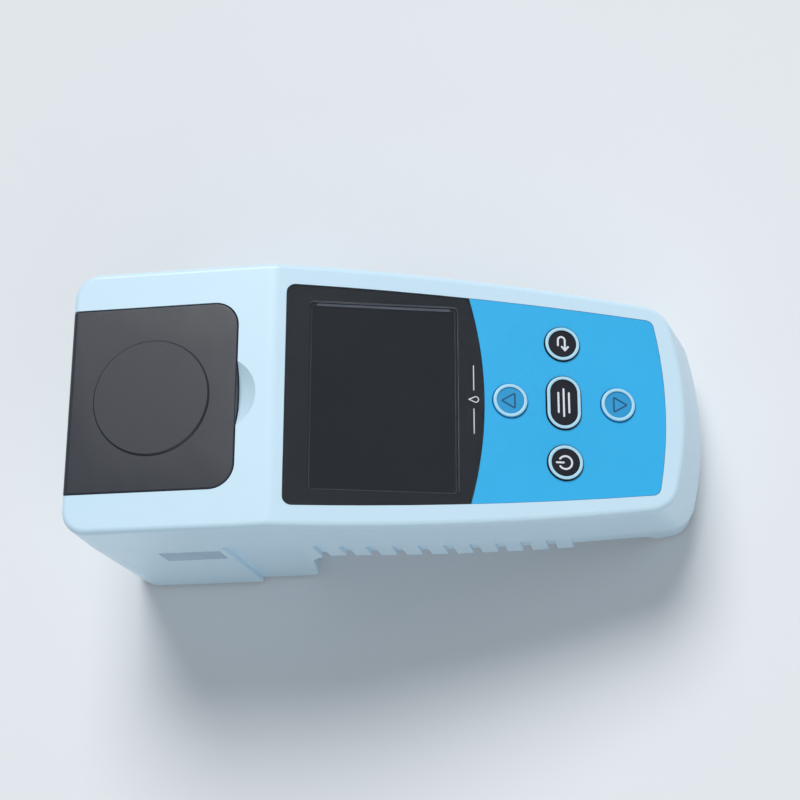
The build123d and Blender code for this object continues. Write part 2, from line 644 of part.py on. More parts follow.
def optical_block():
    """Black block round the vial, with one way in for the light and two ways out."""
    top = DECK_BOTTOM
    body = Pos(0, WELL_Y, (BLOCK_BASE_Z + top) / 2) * Cylinder(BLOCK_RADIUS, top - BLOCK_BASE_Z)
    flange = fillet(Rectangle(2 * FLANGE_HALF, 2 * FLANGE_HALF).vertices(), FLANGE_HALF - FLANGE_HOLE)
    body += prism(Pos(0, WELL_Y) * flange, BLOCK_BASE_Z, BLOCK_BASE_Z + FLANGE_THICK)
    seat = BLOCK_RADIUS + PORT_BOSS - BARREL_SEAT
    for angle in BEAM_ANGLES.values():
        body += radial(angle, WELL_RADIUS, BLOCK_RADIUS + PORT_BOSS, BARREL_RADIUS + WALL)
    well_height = top - WELL_FLOOR_Z
    body -= Pos(0, WELL_Y, WELL_FLOOR_Z + well_height / 2) * Cylinder(WELL_RADIUS, well_height)
    for angle in BEAM_ANGLES.values():
        body -= radial(angle, 0, seat, PORT_RADIUS)
        body -= radial(angle, seat, 2 * BLOCK_RADIUS, BARREL_RADIUS + BARREL_CLEARANCE)
    for x in (-FLANGE_HOLE, FLANGE_HOLE):
        for y in (WELL_Y - FLANGE_HOLE, WELL_Y + FLANGE_HOLE):
            body -= Pos(x, y, BLOCK_BASE_Z) * Cylinder(SMALL_SCREW_RADIUS + HOLE_CLEARANCE, 4 * FLANGE_THICK)
    return body


def barrel(name):
    """Round holder of a lamp or a detector, seated in its boss of the optical block."""
    seat = BLOCK_RADIUS + PORT_BOSS - BARREL_SEAT
    end = seat + BARREL_LENGTH
    body = radial(BEAM_ANGLES[name], seat, end, BARREL_RADIUS)
    return body + radial(BEAM_ANGLES[name], end - BARREL_FLANGE, end, BARREL_RADIUS + BARREL_FLANGE)


def source_lens():
    """Small lens in front of the lamp: flat towards the lamp, round towards the vial."""
    seat = BLOCK_RADIUS + PORT_BOSS - BARREL_SEAT
    radius = PORT_RADIUS - BARREL_CLEARANCE
    disc = radial(BEAM_ANGLES["light_source"], seat - LENS_LENGTH, seat, radius)
    centre = seat - LENS_LENGTH + LENS_CURVE
    beam = Pos(0, WELL_Y, BEAM_Z) * Rot(0, 0, BEAM_ANGLES["light_source"])
    ball = beam * Pos(centre, 0, 0) * Sphere(LENS_CURVE)
    return disc & ball


def sensor_board():
    """Small board behind the scatter detector."""
    half = SENSOR_BOARD_WIDTH / 2
    back = WELL_Y - (BLOCK_RADIUS + PORT_BOSS - BARREL_SEAT + BARREL_LENGTH)
    board = box((-half, half), (back - BOARD_THICK, back), (WELL_FLOOR_Z, SENSOR_BOARD_TOP))
    chip_z = (BEAM_Z - half / 3, BEAM_Z + half / 3)
    chip = box((-half / 3, half / 3), (back - 2 * BOARD_THICK, back - BOARD_THICK), chip_z)
    return board + chip


def handle_point(s, depth):
    """Side view (Y, Z) of a place on the handle."""
    return RIDGE_Y - s * COS + depth * SIN, HEAD_TOP - s * SIN - depth * COS


def sensor_ribbon():
    """Flat ribbon from the sensor board up to the underside of the main board."""
    front = WELL_Y - (BLOCK_RADIUS + PORT_BOSS - BARREL_SEAT + BARREL_LENGTH) - BOARD_THICK - RIBBON_THICK / 2
    depth = BOARD_BACK + RIBBON_THICK / 2
    points = (
        (front, SENSOR_BOARD_TOP - RIBBON_TAIL),
        (front, SENSOR_BOARD_TOP + 2 * RIBBON_TAIL),
        handle_point(BOARD_START - RIBBON_TAIL / 2, depth + RIBBON_TAIL / 2),
        handle_point(BOARD_START + RIBBON_TAIL / 8, depth),
        handle_point(BOARD_START + RIBBON_TAIL, depth),
    )
    path = FilletPolyline(*points, radius=(RIBBON_BEND, RIBBON_BEND, RIBBON_BEND / 2))
    return extrude(Plane.YZ * trace(path, RIBBON_THICK), amount=RIBBON_WIDTH / 2, both=True)


def display_window():
    """Clear sheet over the display and its border."""
    plan = overlay_outline(OVERLAY_GAP) & display_circle(0)
    bottom = OVERLAY_DEPTH - PRINT_THICK
    return handle_prism(plan, bottom - LENS_THICK, bottom)


def display_mask():
    """Black border printed on the back of the clear sheet."""
    plan = (overlay_outline(OVERLAY_GAP) & display_circle(0)) - window_plan(0)
    return handle_prism(plan, OVERLAY_DEPTH - PRINT_THICK, OVERLAY_DEPTH)


def keypad_membrane():
    """Blue keypad sheet with a hole for each key."""
    plan = overlay_outline(OVERLAY_GAP) - display_circle(OVERLAY_GAP)
    for key in KEYS:
        plan -= key_plan(key, KEY_GAP)
    return handle_prism(plan, OVERLAY_DEPTH - MEMBRANE_THICK, OVERLAY_DEPTH)


def display_gasket():
    """Grey frame between the clear sheet and the display."""
    plan = window_plan(GASKET_WIDTH - HOLE_CLEARANCE) - window_plan(0)
    return handle_prism(plan, OVERLAY_DEPTH, MODULE_TOP)


def lcd_module():
    """Frame and back of the display, with a pocket for its glass."""
    start, end = WINDOW_S - MODULE_LENGTH / 2, WINDOW_S + MODULE_LENGTH / 2
    body = handle_box(MODULE_WIDTH / 2, start, end, MODULE_TOP, BOARD_DEPTH)
    start, end = WINDOW_S - PANEL_LENGTH / 2, WINDOW_S + PANEL_LENGTH / 2
    pocket = handle_box(PANEL_WIDTH / 2, start, end, 0, MODULE_TOP + PANEL_THICK)
    return body - pocket


def lcd_panel():
    """Glass of the display."""
    half = PANEL_WIDTH / 2 - FIT_GAP
    length = PANEL_LENGTH / 2 - FIT_GAP
    return handle_box(half, WINDOW_S - length, WINDOW_S + length, MODULE_TOP, MODULE_TOP + PANEL_THICK)


def key_cap(key):
    """One key: raised border, dished face, and a flange below the wall that keeps it in."""
    cap = handle_prism(key_plan(key, 0), -KEY_PROUD, MODULE_TOP)
    cap = fillet(edges_at_depth(cap, -KEY_PROUD), KEY_EDGE)
    cap -= handle_prism(key_plan(key, -KEY_BORDER), -2 * KEY_PROUD, -KEY_PROUD + KEY_DISH)
    return cap + handle_prism(key_plan(key, KEY_FLANGE), MODULE_TOP, MODULE_TOP + KEY_FLANGE_THICK)


def edges_at_depth(solid, depth):
    """Edges of a solid that lie in one plane parallel to the handle's top face."""
    return [e for e in solid.edges() if abs(HANDLE.to_local_coords(e.center()).Z + depth) < 0.01]


def key_mat():
    """Rubber mat on the main board with one dome under each key."""
    mat = handle_box(MAT_HALF, MAT_START, MAT_END, BOARD_DEPTH - MAT_THICK, BOARD_DEPTH)
    for x, s in both_sides(BOARD_POSTS):
        mat -= handle_disc(x, s, POST_RADIUS + 2 * HOLE_CLEARANCE, 0, GRIP_DEPTH)
    dome_top = MODULE_TOP + KEY_FLANGE_THICK + KEY_TRAVEL + TONGUE_GAP
    dome_height = BOARD_DEPTH - MAT_THICK - dome_top
    for _, x, s, width, length in KEYS:
        radius = length / 2 * DOME_SHARE
        place = on_handle(x, s, dome_top + dome_height / 2)
        mat += place * Cone(radius, radius * DOME_SHARE, dome_height)
    return mat


def main_board():
    """Trapezium-shaped board under display and keypad, with its larger parts on the back."""
    points = (
        (BOARD_HALF_START, -BOARD_START),
        (BOARD_HALF_END, -BOARD_END),
        (-BOARD_HALF_END, -BOARD_END),
        (-BOARD_HALF_START, -BOARD_START),
    )
    board = handle_prism(make_face(Polyline(*points, close=True)), BOARD_DEPTH, BOARD_BACK)
    for x, s, width, length, height in BOARD_PARTS:
        board += on_handle(x, s, BOARD_BACK + height / 2) * Box(width, length, height)
    for x, s in both_sides(BOARD_POSTS):
        board -= handle_disc(x, s, SMALL_SCREW_RADIUS + HOLE_CLEARANCE, 0, GRIP_DEPTH)
    return board


def board_screws():
    """Screws that hold the main board to the posts of the upper housing."""
    one = screw(SMALL_SCREW_RADIUS, SMALL_SCREW_LENGTH, SMALL_HEAD_RADIUS, SMALL_HEAD_HEIGHT)
    return [on_handle(x, s, BOARD_BACK) * one for x, s in both_sides(BOARD_POSTS)]


def block_screws():
    """Screws that hold the optical block to the lower housing."""
    length = SMALL_SCREW_LENGTH + FLANGE_THICK
    one = Rot(180, 0, 0) * screw(SMALL_SCREW_RADIUS, length, SMALL_HEAD_RADIUS, SMALL_HEAD_HEIGHT)
    z = BLOCK_BASE_Z + FLANGE_THICK
    ways = (-FLANGE_HOLE, FLANGE_HOLE)
    return [Pos(x, WELL_Y + y, z) * one for x in ways for y in ways]


def housing_screws():
    """Long screws that pull the two housings together from below."""
    one = screw(SCREW_RADIUS, SCREW_LENGTH, SCREW_HEAD_RADIUS, SCREW_HEAD_HEIGHT)
    return [Pos(x, y, part_height(y) - SCREW_SHELF) * one for x, y in both_sides(HOUSING_SCREWS)]


def buzzer():
    """Round sounder on the back of the main board."""
    return handle_disc(0, BUZZER_S, BUZZER_RADIUS, BOARD_BACK, BOARD_BACK + BUZZER_HEIGHT)


def battery_tray():
    """Open tray over the battery door, with a foot that sits on the lower housing all round."""
    top = CELL_DEPTH - CELL_RADIUS - HOLE_CLEARANCE
    half = BAY_WIDTH / 2
    start, end = BAY_START - TRAY_WALL, BAY_END + TRAY_WALL
    tray = handle_box(half + TRAY_WALL, start, end, top - TRAY_WALL, BAY_DEPTH)
    start, end = BAY_START - TRAY_FOOT, BAY_END + TRAY_FOOT
    tray += handle_box(half + TRAY_FOOT, start, end, BAY_DEPTH - TRAY_WALL, BAY_DEPTH)
    tray -= handle_box(half, BAY_START, BAY_END, top, 2 * BAY_DEPTH)
    for x in (-TAB_X, TAB_X):
        notch_end = BAY_END + TRAY_FOOT + 1
        notch_half = TAB_WIDTH / 2 + DOOR_GAP
        notch = handle_box(notch_half, BAY_END - 1, notch_end, BAY_DEPTH - TAB_ROOM, 2 * BAY_DEPTH)
        tray -= Pos(x, 0, 0) * notch
    return tray


def cell_places():
    """Place across the handle of each cell."""
    return [(i - (CELL_COUNT - 1) / 2) * CELL_PITCH for i in range(CELL_COUNT)]


def battery_cells():
    """Three cells side by side, every second one turned round."""
    cells = []
    for i, x in enumerate(cell_places()):
        body = Cylinder(CELL_RADIUS, CELL_LENGTH - CELL_NUB)
        nub = Pos(0, 0, CELL_LENGTH / 2) * Cylinder(CELL_RADIUS * 0.38, CELL_NUB)
        turn = 90 if i % 2 else -90
        shift = Pos(0, 0, -CELL_NUB / 2)
        place = on_handle(x, (BAY_START + BAY_END) / 2, CELL_DEPTH)
        cells.append(place * Rot(turn, 0, 0) * shift * (body + nub))
    return cells


def battery_contacts():
    """Bowed leaf contacts at both ends of each cell."""
    room = (BAY_END - BAY_START - CELL_LENGTH) / 2 - CONTACT_THICK - FIT_GAP
    chord = CONTACT_HEIGHT / 2
    radius = (chord**2 + room**2) / (2 * room)
    contacts = []
    for x in cell_places():
        for end, side in ((BAY_START, 1), (BAY_END, -1)):
            plate_s = end + side * CONTACT_THICK / 2
            plate = on_handle(x, plate_s, CELL_DEPTH) * Box(CONTACT_WIDTH, CONTACT_THICK, CONTACT_HEIGHT)
            centre = on_handle(x, end + side * (CONTACT_THICK + room - radius), CELL_DEPTH)
            bow = Cylinder(radius, CONTACT_WIDTH) - Cylinder(radius - CONTACT_THICK, CONTACT_WIDTH)
            bow = centre * Rot(0, 90, 0) * bow
            reach = sorted((end + side * CONTACT_THICK / 2, end + side * 2 * room))
            zone = handle_box(WIDTH / 2, reach[0], reach[1], 0, GRIP_DEPTH)
            contacts.append(plate + (bow & zone))
    return contacts


def battery_door():
    """Door flush with the underside, with two tabs at its tail end and ridges for the thumb."""
    half = BAY_WIDTH / 2 + DOOR_LEDGE - DOOR_GAP
    start = BAY_START - DOOR_LEDGE + DOOR_GAP
    end = BAY_END + DOOR_LEDGE - DOOR_GAP
    seat = BAY_DEPTH + DOOR_SEAT_GAP
    door = handle_box(half, start, end, seat, GRIP_DEPTH)
    corners = [e for e in door.edges() if abs(abs((e % 0.5).dot(HANDLE.z_dir)) - 1) < 0.001]
    door = fillet(corners, DOOR_GAP + TONGUE_GAP)
    for x in (-TAB_X, TAB_X):
        tab_top = seat - DOOR_SEAT_GAP - DOOR_SEAT_GAP - TAB_THICK
        tab_end = end + DOOR_GAP + TAB_LENGTH
        tab = handle_box(TAB_WIDTH / 2, end - TAB_ROOT, tab_end, tab_top, tab_top + TAB_THICK)
        root = handle_box(TAB_WIDTH / 2, end - TAB_ROOT, end, tab_top, seat + TONGUE_GAP)
        door += Pos(x, 0, 0) * (tab + root)
    for i in range(DOOR_RIDGES):
        s = start + DOOR_RIDGE_PITCH * (i + 1.5)
        ridge_top, ridge_bottom = GRIP_DEPTH - WALL / 2, GRIP_DEPTH + DOOR_RIDGE / 2
        door += handle_box(half / 2, s - DOOR_RIDGE / 2, s + DOOR_RIDGE / 2, ridge_top, ridge_bottom)
    return door


def door_pad():
    """Foam strip inside the door that keeps the cells from rattling."""
    seat = BAY_DEPTH + DOOR_SEAT_GAP
    middle = (BAY_START + BAY_END) / 2
    top = CELL_DEPTH + CELL_RADIUS + DOOR_SEAT_GAP
    return handle_box(BAY_WIDTH / 2 - 2 * WALL, middle - CELL_LENGTH / 6, middle + CELL_LENGTH / 6, top, seat)


def port_cover():
    """Rubber flap over the USB port, flush with the side, with a plug inside."""
    y = (PORT_Y - COVER_WIDTH / 2, PORT_Y + COVER_WIDTH / 2)
    z = (PORT_Z - COVER_HEIGHT / 2, PORT_Z + COVER_HEIGHT / 2)
    inner_x = -WIDTH / 2 + COVER_THICK
    flap = lower_form() & box((-WIDTH, inner_x), y, z)
    top = [e for e in flap.edges() if e.center().Z > z[1] - 0.01 and e.length > COVER_WIDTH / 2]
    flap = fillet(top, COVER_THICK * 0.45)
    plug_y = (PORT_Y - PORT_OPEN_WIDTH / 2 + 1, PORT_Y + PORT_OPEN_WIDTH / 2 - 1)
    plug_z = (PORT_Z - PORT_OPEN_HEIGHT / 2 + 1, PORT_Z + PORT_OPEN_HEIGHT / 2 - 1)
    return flap + box((inner_x - COVER_THICK / 2, inner_x + PLUG_LENGTH), plug_y, plug_z)


def port_board():
    """Small board that carries the USB socket, on two ribs of the lower housing."""
    y = (PORT_Y - PORT_BOARD_WIDTH / 2, PORT_Y + PORT_BOARD_WIDTH / 2)
    return box(PORT_BOARD_X, y, (PORT_BOARD_BOTTOM, PORT_BOARD_TOP))


def usb_socket():
    """Metal shell of the USB socket with its tongue."""
    y = (PORT_Y - SOCKET_WIDTH / 2, PORT_Y + SOCKET_WIDTH / 2)
    z = (PORT_BOARD_TOP, PORT_BOARD_TOP + SOCKET_HEIGHT)
    x = (SOCKET_MOUTH_X, SOCKET_MOUTH_X + SOCKET_DEPTH)
    shell = box(x, y, z)
    hollow_y = (y[0] + SOCKET_WALL, y[1] - SOCKET_WALL)
    hollow_z = (z[0] + SOCKET_WALL, z[1] - SOCKET_WALL)
    hollow = box((x[0] - 1, x[1] - SOCKET_WALL * 3), hollow_y, hollow_z)
    tongue_z = (z[0] + z[1]) / 2
    tongue_y = (y[0] + 4 * SOCKET_WALL, y[1] - 4 * SOCKET_WALL)
    tongue = box((x[0] + 1, x[1]), tongue_y, (tongue_z - SOCKET_WALL, tongue_z + SOCKET_WALL))
    return (shell - hollow) + tongue


def lid_hinge_pin():
    """Steel pin through the hinge."""
    return cylinder_x((-PIN_LENGTH / 2, PIN_LENGTH / 2), HINGE_Y, HINGE_Z, PIN_RADIUS)


def rubber_feet():
    """Four round feet under the head."""
    height = BASE_GAP + FOOT_RECESS
    foot = Pos(0, 0, height / 2) * Cylinder(FOOT_RADIUS - FIT_GAP, height)
    foot = chamfer(foot.edges().group_by(Axis.Z)[0], BASE_GAP / 2)
    return [Pos(x, y, 0) * foot for x in (-FOOT_X, FOOT_X) for y in FOOT_PLACES_Y]


def tail_pad():
    """Rubber strip under the tail."""
    half = TAIL_PAD_WIDTH / 2 - FIT_GAP
    y = (TAIL_PAD_Y[0] + FIT_GAP, TAIL_PAD_Y[1] - FIT_GAP)
    return box((-half, half), y, (0, BASE_GAP + FOOT_RECESS))


OUTER = upper_form()
OUTER = fillet(top_edges(OUTER), TOP_ROUND)

NODES = {
    "upper_housing": upper_housing,
    "lower_housing": lower_housing,
    "lid_cover": lid_cover,
    "lid_liner": lid_liner,
    "lid_seal": lid_seal,
    "lid_hinge_pin": lid_hinge_pin,
    "well_collar": well_collar,
    "optical_block": optical_block,
    "light_source": lambda: barrel("light_source"),
    "scatter_detector": lambda: barrel("scatter_detector"),
    "transmission_detector": lambda: barrel("transmission_detector"),
    "source_lens": source_lens,
    "sensor_board": sensor_board,
    "sensor_ribbon": sensor_ribbon,
    "display_window": display_window,
    "display_mask": display_mask,
    "display_gasket": display_gasket,
    "lcd_module": lcd_module,
    "lcd_panel": lcd_panel,
    "keypad_membrane": keypad_membrane,
    "key_mat": key_mat,
    "main_board": main_board,
    "board_screws": board_screws,
    "block_screws": block_screws,
    "housing_screws": housing_screws,
    "buzzer": buzzer,
    "battery_tray": battery_tray,
    "battery_cells": battery_cells,
    "battery_contacts": battery_contacts,
    "battery_door": battery_door,
    "door_pad": door_pad,
    "port_cover": port_cover,
    "port_board": port_board,
    "usb_socket": usb_socket,
    "rubber_feet": rubber_feet,
    "tail_pad": tail_pad,
}
for spec in KEYS:
    NODES[spec[0]] = lambda spec=spec: key_cap(spec)

os.makedirs("parts", exist_ok=True)
for name, make in NODES.items():
    solid = make()
    if isinstance(solid, list):
        solid = Compound(children=solid)
    export_step(solid, f"parts/{name}.step")
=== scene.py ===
"""Handheld turbidity meter: finishes, printed marks, small moulded details and the stage.

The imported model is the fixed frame. Every place on the meter comes from its nodes, and lengths are
in metres unless a name or comment says millimetres.
"""

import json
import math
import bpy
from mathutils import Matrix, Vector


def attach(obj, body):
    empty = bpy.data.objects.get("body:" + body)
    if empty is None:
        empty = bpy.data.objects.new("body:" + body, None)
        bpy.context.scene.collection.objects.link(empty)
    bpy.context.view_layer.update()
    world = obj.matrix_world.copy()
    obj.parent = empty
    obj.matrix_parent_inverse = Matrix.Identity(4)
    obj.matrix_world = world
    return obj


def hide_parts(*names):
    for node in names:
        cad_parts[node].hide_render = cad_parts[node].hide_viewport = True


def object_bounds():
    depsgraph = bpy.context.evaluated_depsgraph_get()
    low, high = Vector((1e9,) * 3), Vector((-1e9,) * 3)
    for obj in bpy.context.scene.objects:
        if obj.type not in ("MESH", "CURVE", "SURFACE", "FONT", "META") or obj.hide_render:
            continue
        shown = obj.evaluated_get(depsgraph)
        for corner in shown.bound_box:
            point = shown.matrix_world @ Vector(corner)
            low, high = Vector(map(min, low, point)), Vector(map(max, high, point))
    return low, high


bl_info = {
    "name": "Turbidity meter",
    "version": (1, 0, 0),
    "blender": (4, 5, 0),
    "location": "3D View > Sidebar > Meter",
    "description": "Dresses the handheld turbidity meter and sets its stage",
    "category": "Object",
}

import bmesh
import bpy
import numpy as np
from bpy.props import FloatProperty, FloatVectorProperty, PointerProperty
from mathutils import Matrix, Vector
from mathutils.geometry import convex_hull_2d

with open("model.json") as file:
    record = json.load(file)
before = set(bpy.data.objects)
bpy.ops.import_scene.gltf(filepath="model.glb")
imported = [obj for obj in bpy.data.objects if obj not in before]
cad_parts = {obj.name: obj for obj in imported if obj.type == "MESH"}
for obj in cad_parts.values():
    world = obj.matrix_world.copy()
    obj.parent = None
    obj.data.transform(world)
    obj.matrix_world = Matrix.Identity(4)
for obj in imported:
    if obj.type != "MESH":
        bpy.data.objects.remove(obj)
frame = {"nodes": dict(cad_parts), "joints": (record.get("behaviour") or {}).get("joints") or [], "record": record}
CAD_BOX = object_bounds()

MM = 0.001
# Points closer than this are merged, in a new piece and in a copied node
OWN_MERGE = 1e-7
NODE_MERGE = 2e-6
SHORTEST_EDGE = 1e-8
# Edges that bend by more than this many degrees stay sharp, and on the lid they are rounded off
OWN_SHARP = 40.0
NODE_SHARP = 35.0
SOFT_SHARP = 50.0
# A raised line: points round its section, points round its end, share of its height below the face
LINE_SECTIONS = 12
RING_SECTIONS = 16
LINE_END = 4
SUNK_SHARE = 0.1
# A line's mitred corner is at most one over this times as wide as the line
MITRE_SHARE = 0.35
# Points of a rounded corner, and rings of a low pillow
CORNER_POINTS = 7
PILLOW_RINGS = 6
# How far below a key's top its border and its cap reach, and the shortest step along that border
BORDER_DEPTH = 0.05 * MM
CAP_DEPTH = 0.5 * MM
SHORTEST_STEP = 0.05 * MM
# Height of the ridges that stand on the battery door
DOOR_RIDGE = 0.4 * MM
# Marks in millimetres about the middle of their key, with y towards the head
POWER_RING = 2.15
POWER_RING_ENDS = (125, 415)
POWER_BAR = ((0.0, 0.6), (0.0, 2.9))
RETURN_SHAFT = ((-2.1, -0.9), (1.3, -0.9))
RETURN_BEND = 1.15
RETURN_BEND_MIDDLE = (1.3, 0.25)
RETURN_TAIL = ((1.3, 1.4), (-0.5, 1.4))
RETURN_HEAD = ((-0.95, 0.15), (-2.15, -0.9), (-0.95, -1.95))
# The middle key's three lines: place and half the length of each
MIDDLE_LINES = ((1.75, 3.3), (0.0, 4.6), (-1.75, 3.3))
# Range in which a noise mostly stays
NOISE_LOW = 0.3
NOISE_HIGH = 0.7
# Sockets of a Mix node that mixes colours: its share, its two colours and its result
MIX_SHARE, MIX_FIRST, MIX_SECOND, MIX_RESULT = 0, 6, 7, 2
# Share of the cells' length that has the pale wrap, and the blur of its edge
PALE_SHARE = 0.33
PALE_BLUR = 0.4 * MM
# Radii of the floor's rings in metres, and points round each of them
FLOOR_RADII = (0.0, 0.2, 0.5, 1.0, 2.0, 4.0)
FLOOR_SIDES = 64
# Point that the lamps aim at, in metres, and width of the camera's sensor in millimetres
LAMP_AIM = Vector((0.0, 0.0, 0.05))
SENSOR_WIDTH = 36.0
NODES = frame["nodes"]
BODY_OF = {node: body for body, nodes in frame["record"]["behaviour"]["bodies"].items() for node in nodes}
ARROW_KEYS = ("up_key", "down_key")
ROUND_KEYS = ("power_key", "return_key", "middle_key")


def joint_axis(name):
    """Axis of a joint of the frame, as a unit vector."""
    for joint in frame["joints"]:
        if joint["name"] == name:
            return np.array(joint["axis"]) / np.linalg.norm(joint["axis"])
    raise RuntimeError(f"the frame has no joint {name}")


# The handle's own frame, as columns: across, towards the head along its top face, out of that face
OUT = -joint_axis("power_key_press")
ACROSS = np.array((1.0, 0.0, 0.0))
UP_HANDLE = np.cross(OUT, ACROSS)
HANDLE = np.column_stack((ACROSS, UP_HANDLE, OUT))


def node_points(name):
    """Points of a node's mesh as an array."""
    mesh = NODES[name].data
    points = np.zeros(3 * len(mesh.vertices), np.float32)
    mesh.vertices.foreach_get("co", points)
    return points.reshape(-1, 3).astype(float)


def node_box(name, axes=HANDLE):
    """Lowest and highest corner of a node in turned axes."""
    turned = node_points(name) @ axes
    return turned.min(0), turned.max(0)


def srgb(red, green, blue):
    """Linear colour from one given in 0 to 255."""
    shares = (value / 255 for value in (red, green, blue))
    return tuple(s / 12.92 if s <= 0.04045 else ((s + 0.055) / 1.055) ** 2.4 for s in shares)


# Settings

def colour_setting(name, description, default):
    """Property that holds a colour."""
    return FloatVectorProperty(
        name=name, description=description, subtype="COLOR", size=3, min=0.0, max=1.0, default=srgb(*default)
    )


def length_setting(name, description, millimetres):
    """Property that holds a length."""
    return FloatProperty(
        name=name, description=description, subtype="DISTANCE", unit="LENGTH", min=0.0,
        precision=5, default=millimetres * MM,
    )


class MeterColours(bpy.types.PropertyGroup):
    """Colours of the visible finishes."""
    shell: colour_setting("Shell", "Moulded housings", (206, 233, 248))
    lid: colour_setting("Lid", "Lid over the well", (44, 47, 55))
    border: colour_setting("Border", "Print round the display", (12, 12, 26))
    panel: colour_setting("Panel", "Display while it is off", (9, 9, 22))
    keypad: colour_setting("Keypad", "Printed keypad sheet", (50, 180, 237))
    # Painted highlight: the key rims are lighter than the keypad for the light that their raised bevel catches
    ring: colour_setting("Key ring", "Raised rim of the keys", (178, 224, 243))
    key: colour_setting("Key", "Face of the round keys", (24, 25, 34))
    arrow: colour_setting("Arrow key", "Face of the arrow keys", (46, 158, 212))
    arrow_mark: colour_setting("Arrow mark", "Outline on the arrow keys", (20, 88, 132))
    mark: colour_setting("Mark", "Light printed marks", (226, 232, 238))
    gasket: colour_setting("Gasket", "Foam frame below the clear sheet", (176, 180, 188))
    # Painted highlight: light line round the display where the walls of its recess catch the light
    frame_highlight_line: colour_setting("Frame line", "Fine line round the display", (74, 76, 90))
    # Painted highlight: bright line along one edge of the display, for the lit far wall of its recess
    edge_glint: colour_setting("Edge line", "Bright line at the display's edge", (150, 152, 164))


class MeterSizes(bpy.types.PropertyGroup):
    """Sizes of the small details."""
    ring_width: length_setting("Ring width", "Width of the raised rim of a key", 1.0)
    ring_height: length_setting("Ring height", "Height of that rim above the key", 0.12)
    ring_inset: length_setting("Ring inset", "From a key's edge to its raised rim", 0.1)
    dish: length_setting("Dish", "Depth of a key's face below its border", 0.3)
    stroke: length_setting("Stroke", "Width of the printed lines on the keys", 0.62)
    fine_stroke: length_setting("Fine stroke", "Width of the finest printed lines", 0.34)
    print_height: length_setting("Print", "Thickness of a printed line", 0.035)
    arrow_size: length_setting("Arrow size", "Radius of the triangle on an arrow key", 2.9)
    arrow_corner: length_setting("Arrow corner", "Rounding of that triangle's corners", 0.45)
    sheet_lift: length_setting("Sheet lift", "Air between the clear sheet and its border print", 0.04)
    line_inset: length_setting("Line inset", "From the gasket's outside to the frame line", 2.6)
    line_corner: length_setting("Line corner", "Corner of the frame line", 1.2)
    # Width and ends of the painted highlight along the display's edge
    edge_stroke: length_setting("Edge stroke", "Width of the bright line at the display's edge", 0.816)
    edge_short: length_setting("Edge short", "From the end of the bright line to the corner", 2.0)
    drop_height: length_setting("Drop height", "Height of the drop on the border", 3.1)
    rule_start: length_setting("Rule start", "From the drop's middle to the near end of a rule", 3.2)
    rule_end: length_setting("Rule end", "From the drop's middle to the far end of a rule", 11.5)
    mark_back: length_setting("Mark back", "From the border's end at the keys to the drop", 3.4)
    soft_edge: length_setting("Soft edge", "Width of the lid's rounded edges", 0.25)
    door_arrow: length_setting("Door arrow", "Radius of the raised arrow on the battery door", 3.4)
    door_arrow_corner: length_setting("Door arrow corner", "Rounding of that arrow's corners", 0.7)
    door_arrow_height: length_setting("Door arrow height", "Height of that arrow", 0.35)
    door_arrow_back: length_setting("Door arrow back", "From the door's edge at the head to that arrow", 17.0)


class MeterStage(bpy.types.PropertyGroup):
    """Camera, lights and floor."""
    camera_place: FloatVectorProperty(
        name="Camera", description="Place of the camera", subtype="TRANSLATION", unit="LENGTH", size=3,
        default=(-0.1699, -0.0967, 0.5755),
    )
    camera_up: FloatVectorProperty(
        name="Camera top", description="Direction that is up in the picture", subtype="DIRECTION", size=3,
        default=(0.8958, -0.0756, 0.4380),
    )
    aim: FloatVectorProperty(
        name="Aim", description="Point in the middle of the picture", subtype="TRANSLATION", unit="LENGTH",
        size=3, default=(0.004, -0.004, 0.052),
    )
    lens: FloatProperty(name="Lens", description="Focal length on a 36 mm sensor", default=76.0, min=10.0)
    world: FloatProperty(name="World light", description="Strength of the light from all round", default=0.3)
    key: FloatProperty(name="Key light", description="Strength of the lamp above", default=2.4)
    fill: FloatProperty(name="Fill light", description="Strength of the lamp at the side", default=0.62)
    key_place: FloatVectorProperty(
        name="Key lamp", description="Way that the lamp above shines from", subtype="TRANSLATION",
        unit="LENGTH", size=3, default=(0.75, 0.1, 0.95),
    )
    fill_place: FloatVectorProperty(
        name="Fill lamp", description="Way that the lamp at the side shines from", subtype="TRANSLATION",
        unit="LENGTH", size=3, default=(-0.9, -0.5, 0.8),
    )
    key_spread: FloatProperty(
        name="Key spread", description="How wide the lamp above is in the sky", subtype="ANGLE",
        unit="ROTATION", default=math.radians(32.0),
    )
    fill_spread: FloatProperty(
        name="Fill spread", description="How wide the lamp at the side is in the sky", subtype="ANGLE",
        unit="ROTATION", default=math.radians(60.0),
    )
    sky: FloatVectorProperty(
        name="Sky", description="Colour of the light from all round", subtype="COLOR", size=3,
        min=0.0, max=1.0, default=(0.8, 0.9, 1.0),
    )
    floor: colour_setting("Floor", "Plain floor", (232, 234, 236))


# Meshes

def grid_faces(rows, columns, wrap_rows=False, wrap_columns=False):
    """Quads of a grid of points in row order, with the last row or column joined to the first if asked."""
    row = np.arange(rows if wrap_rows else rows - 1)[:, None]
    column = np.arange(columns if wrap_columns else columns - 1)[None, :]
    next_row = (row + 1) % rows * columns
    next_column = (column + 1) % columns
    corners = (row * columns + column, row * columns + next_column, next_row + next_column, next_row + column)
    return np.stack(np.broadcast_arrays(*corners), axis=-1).reshape(-1, 4)


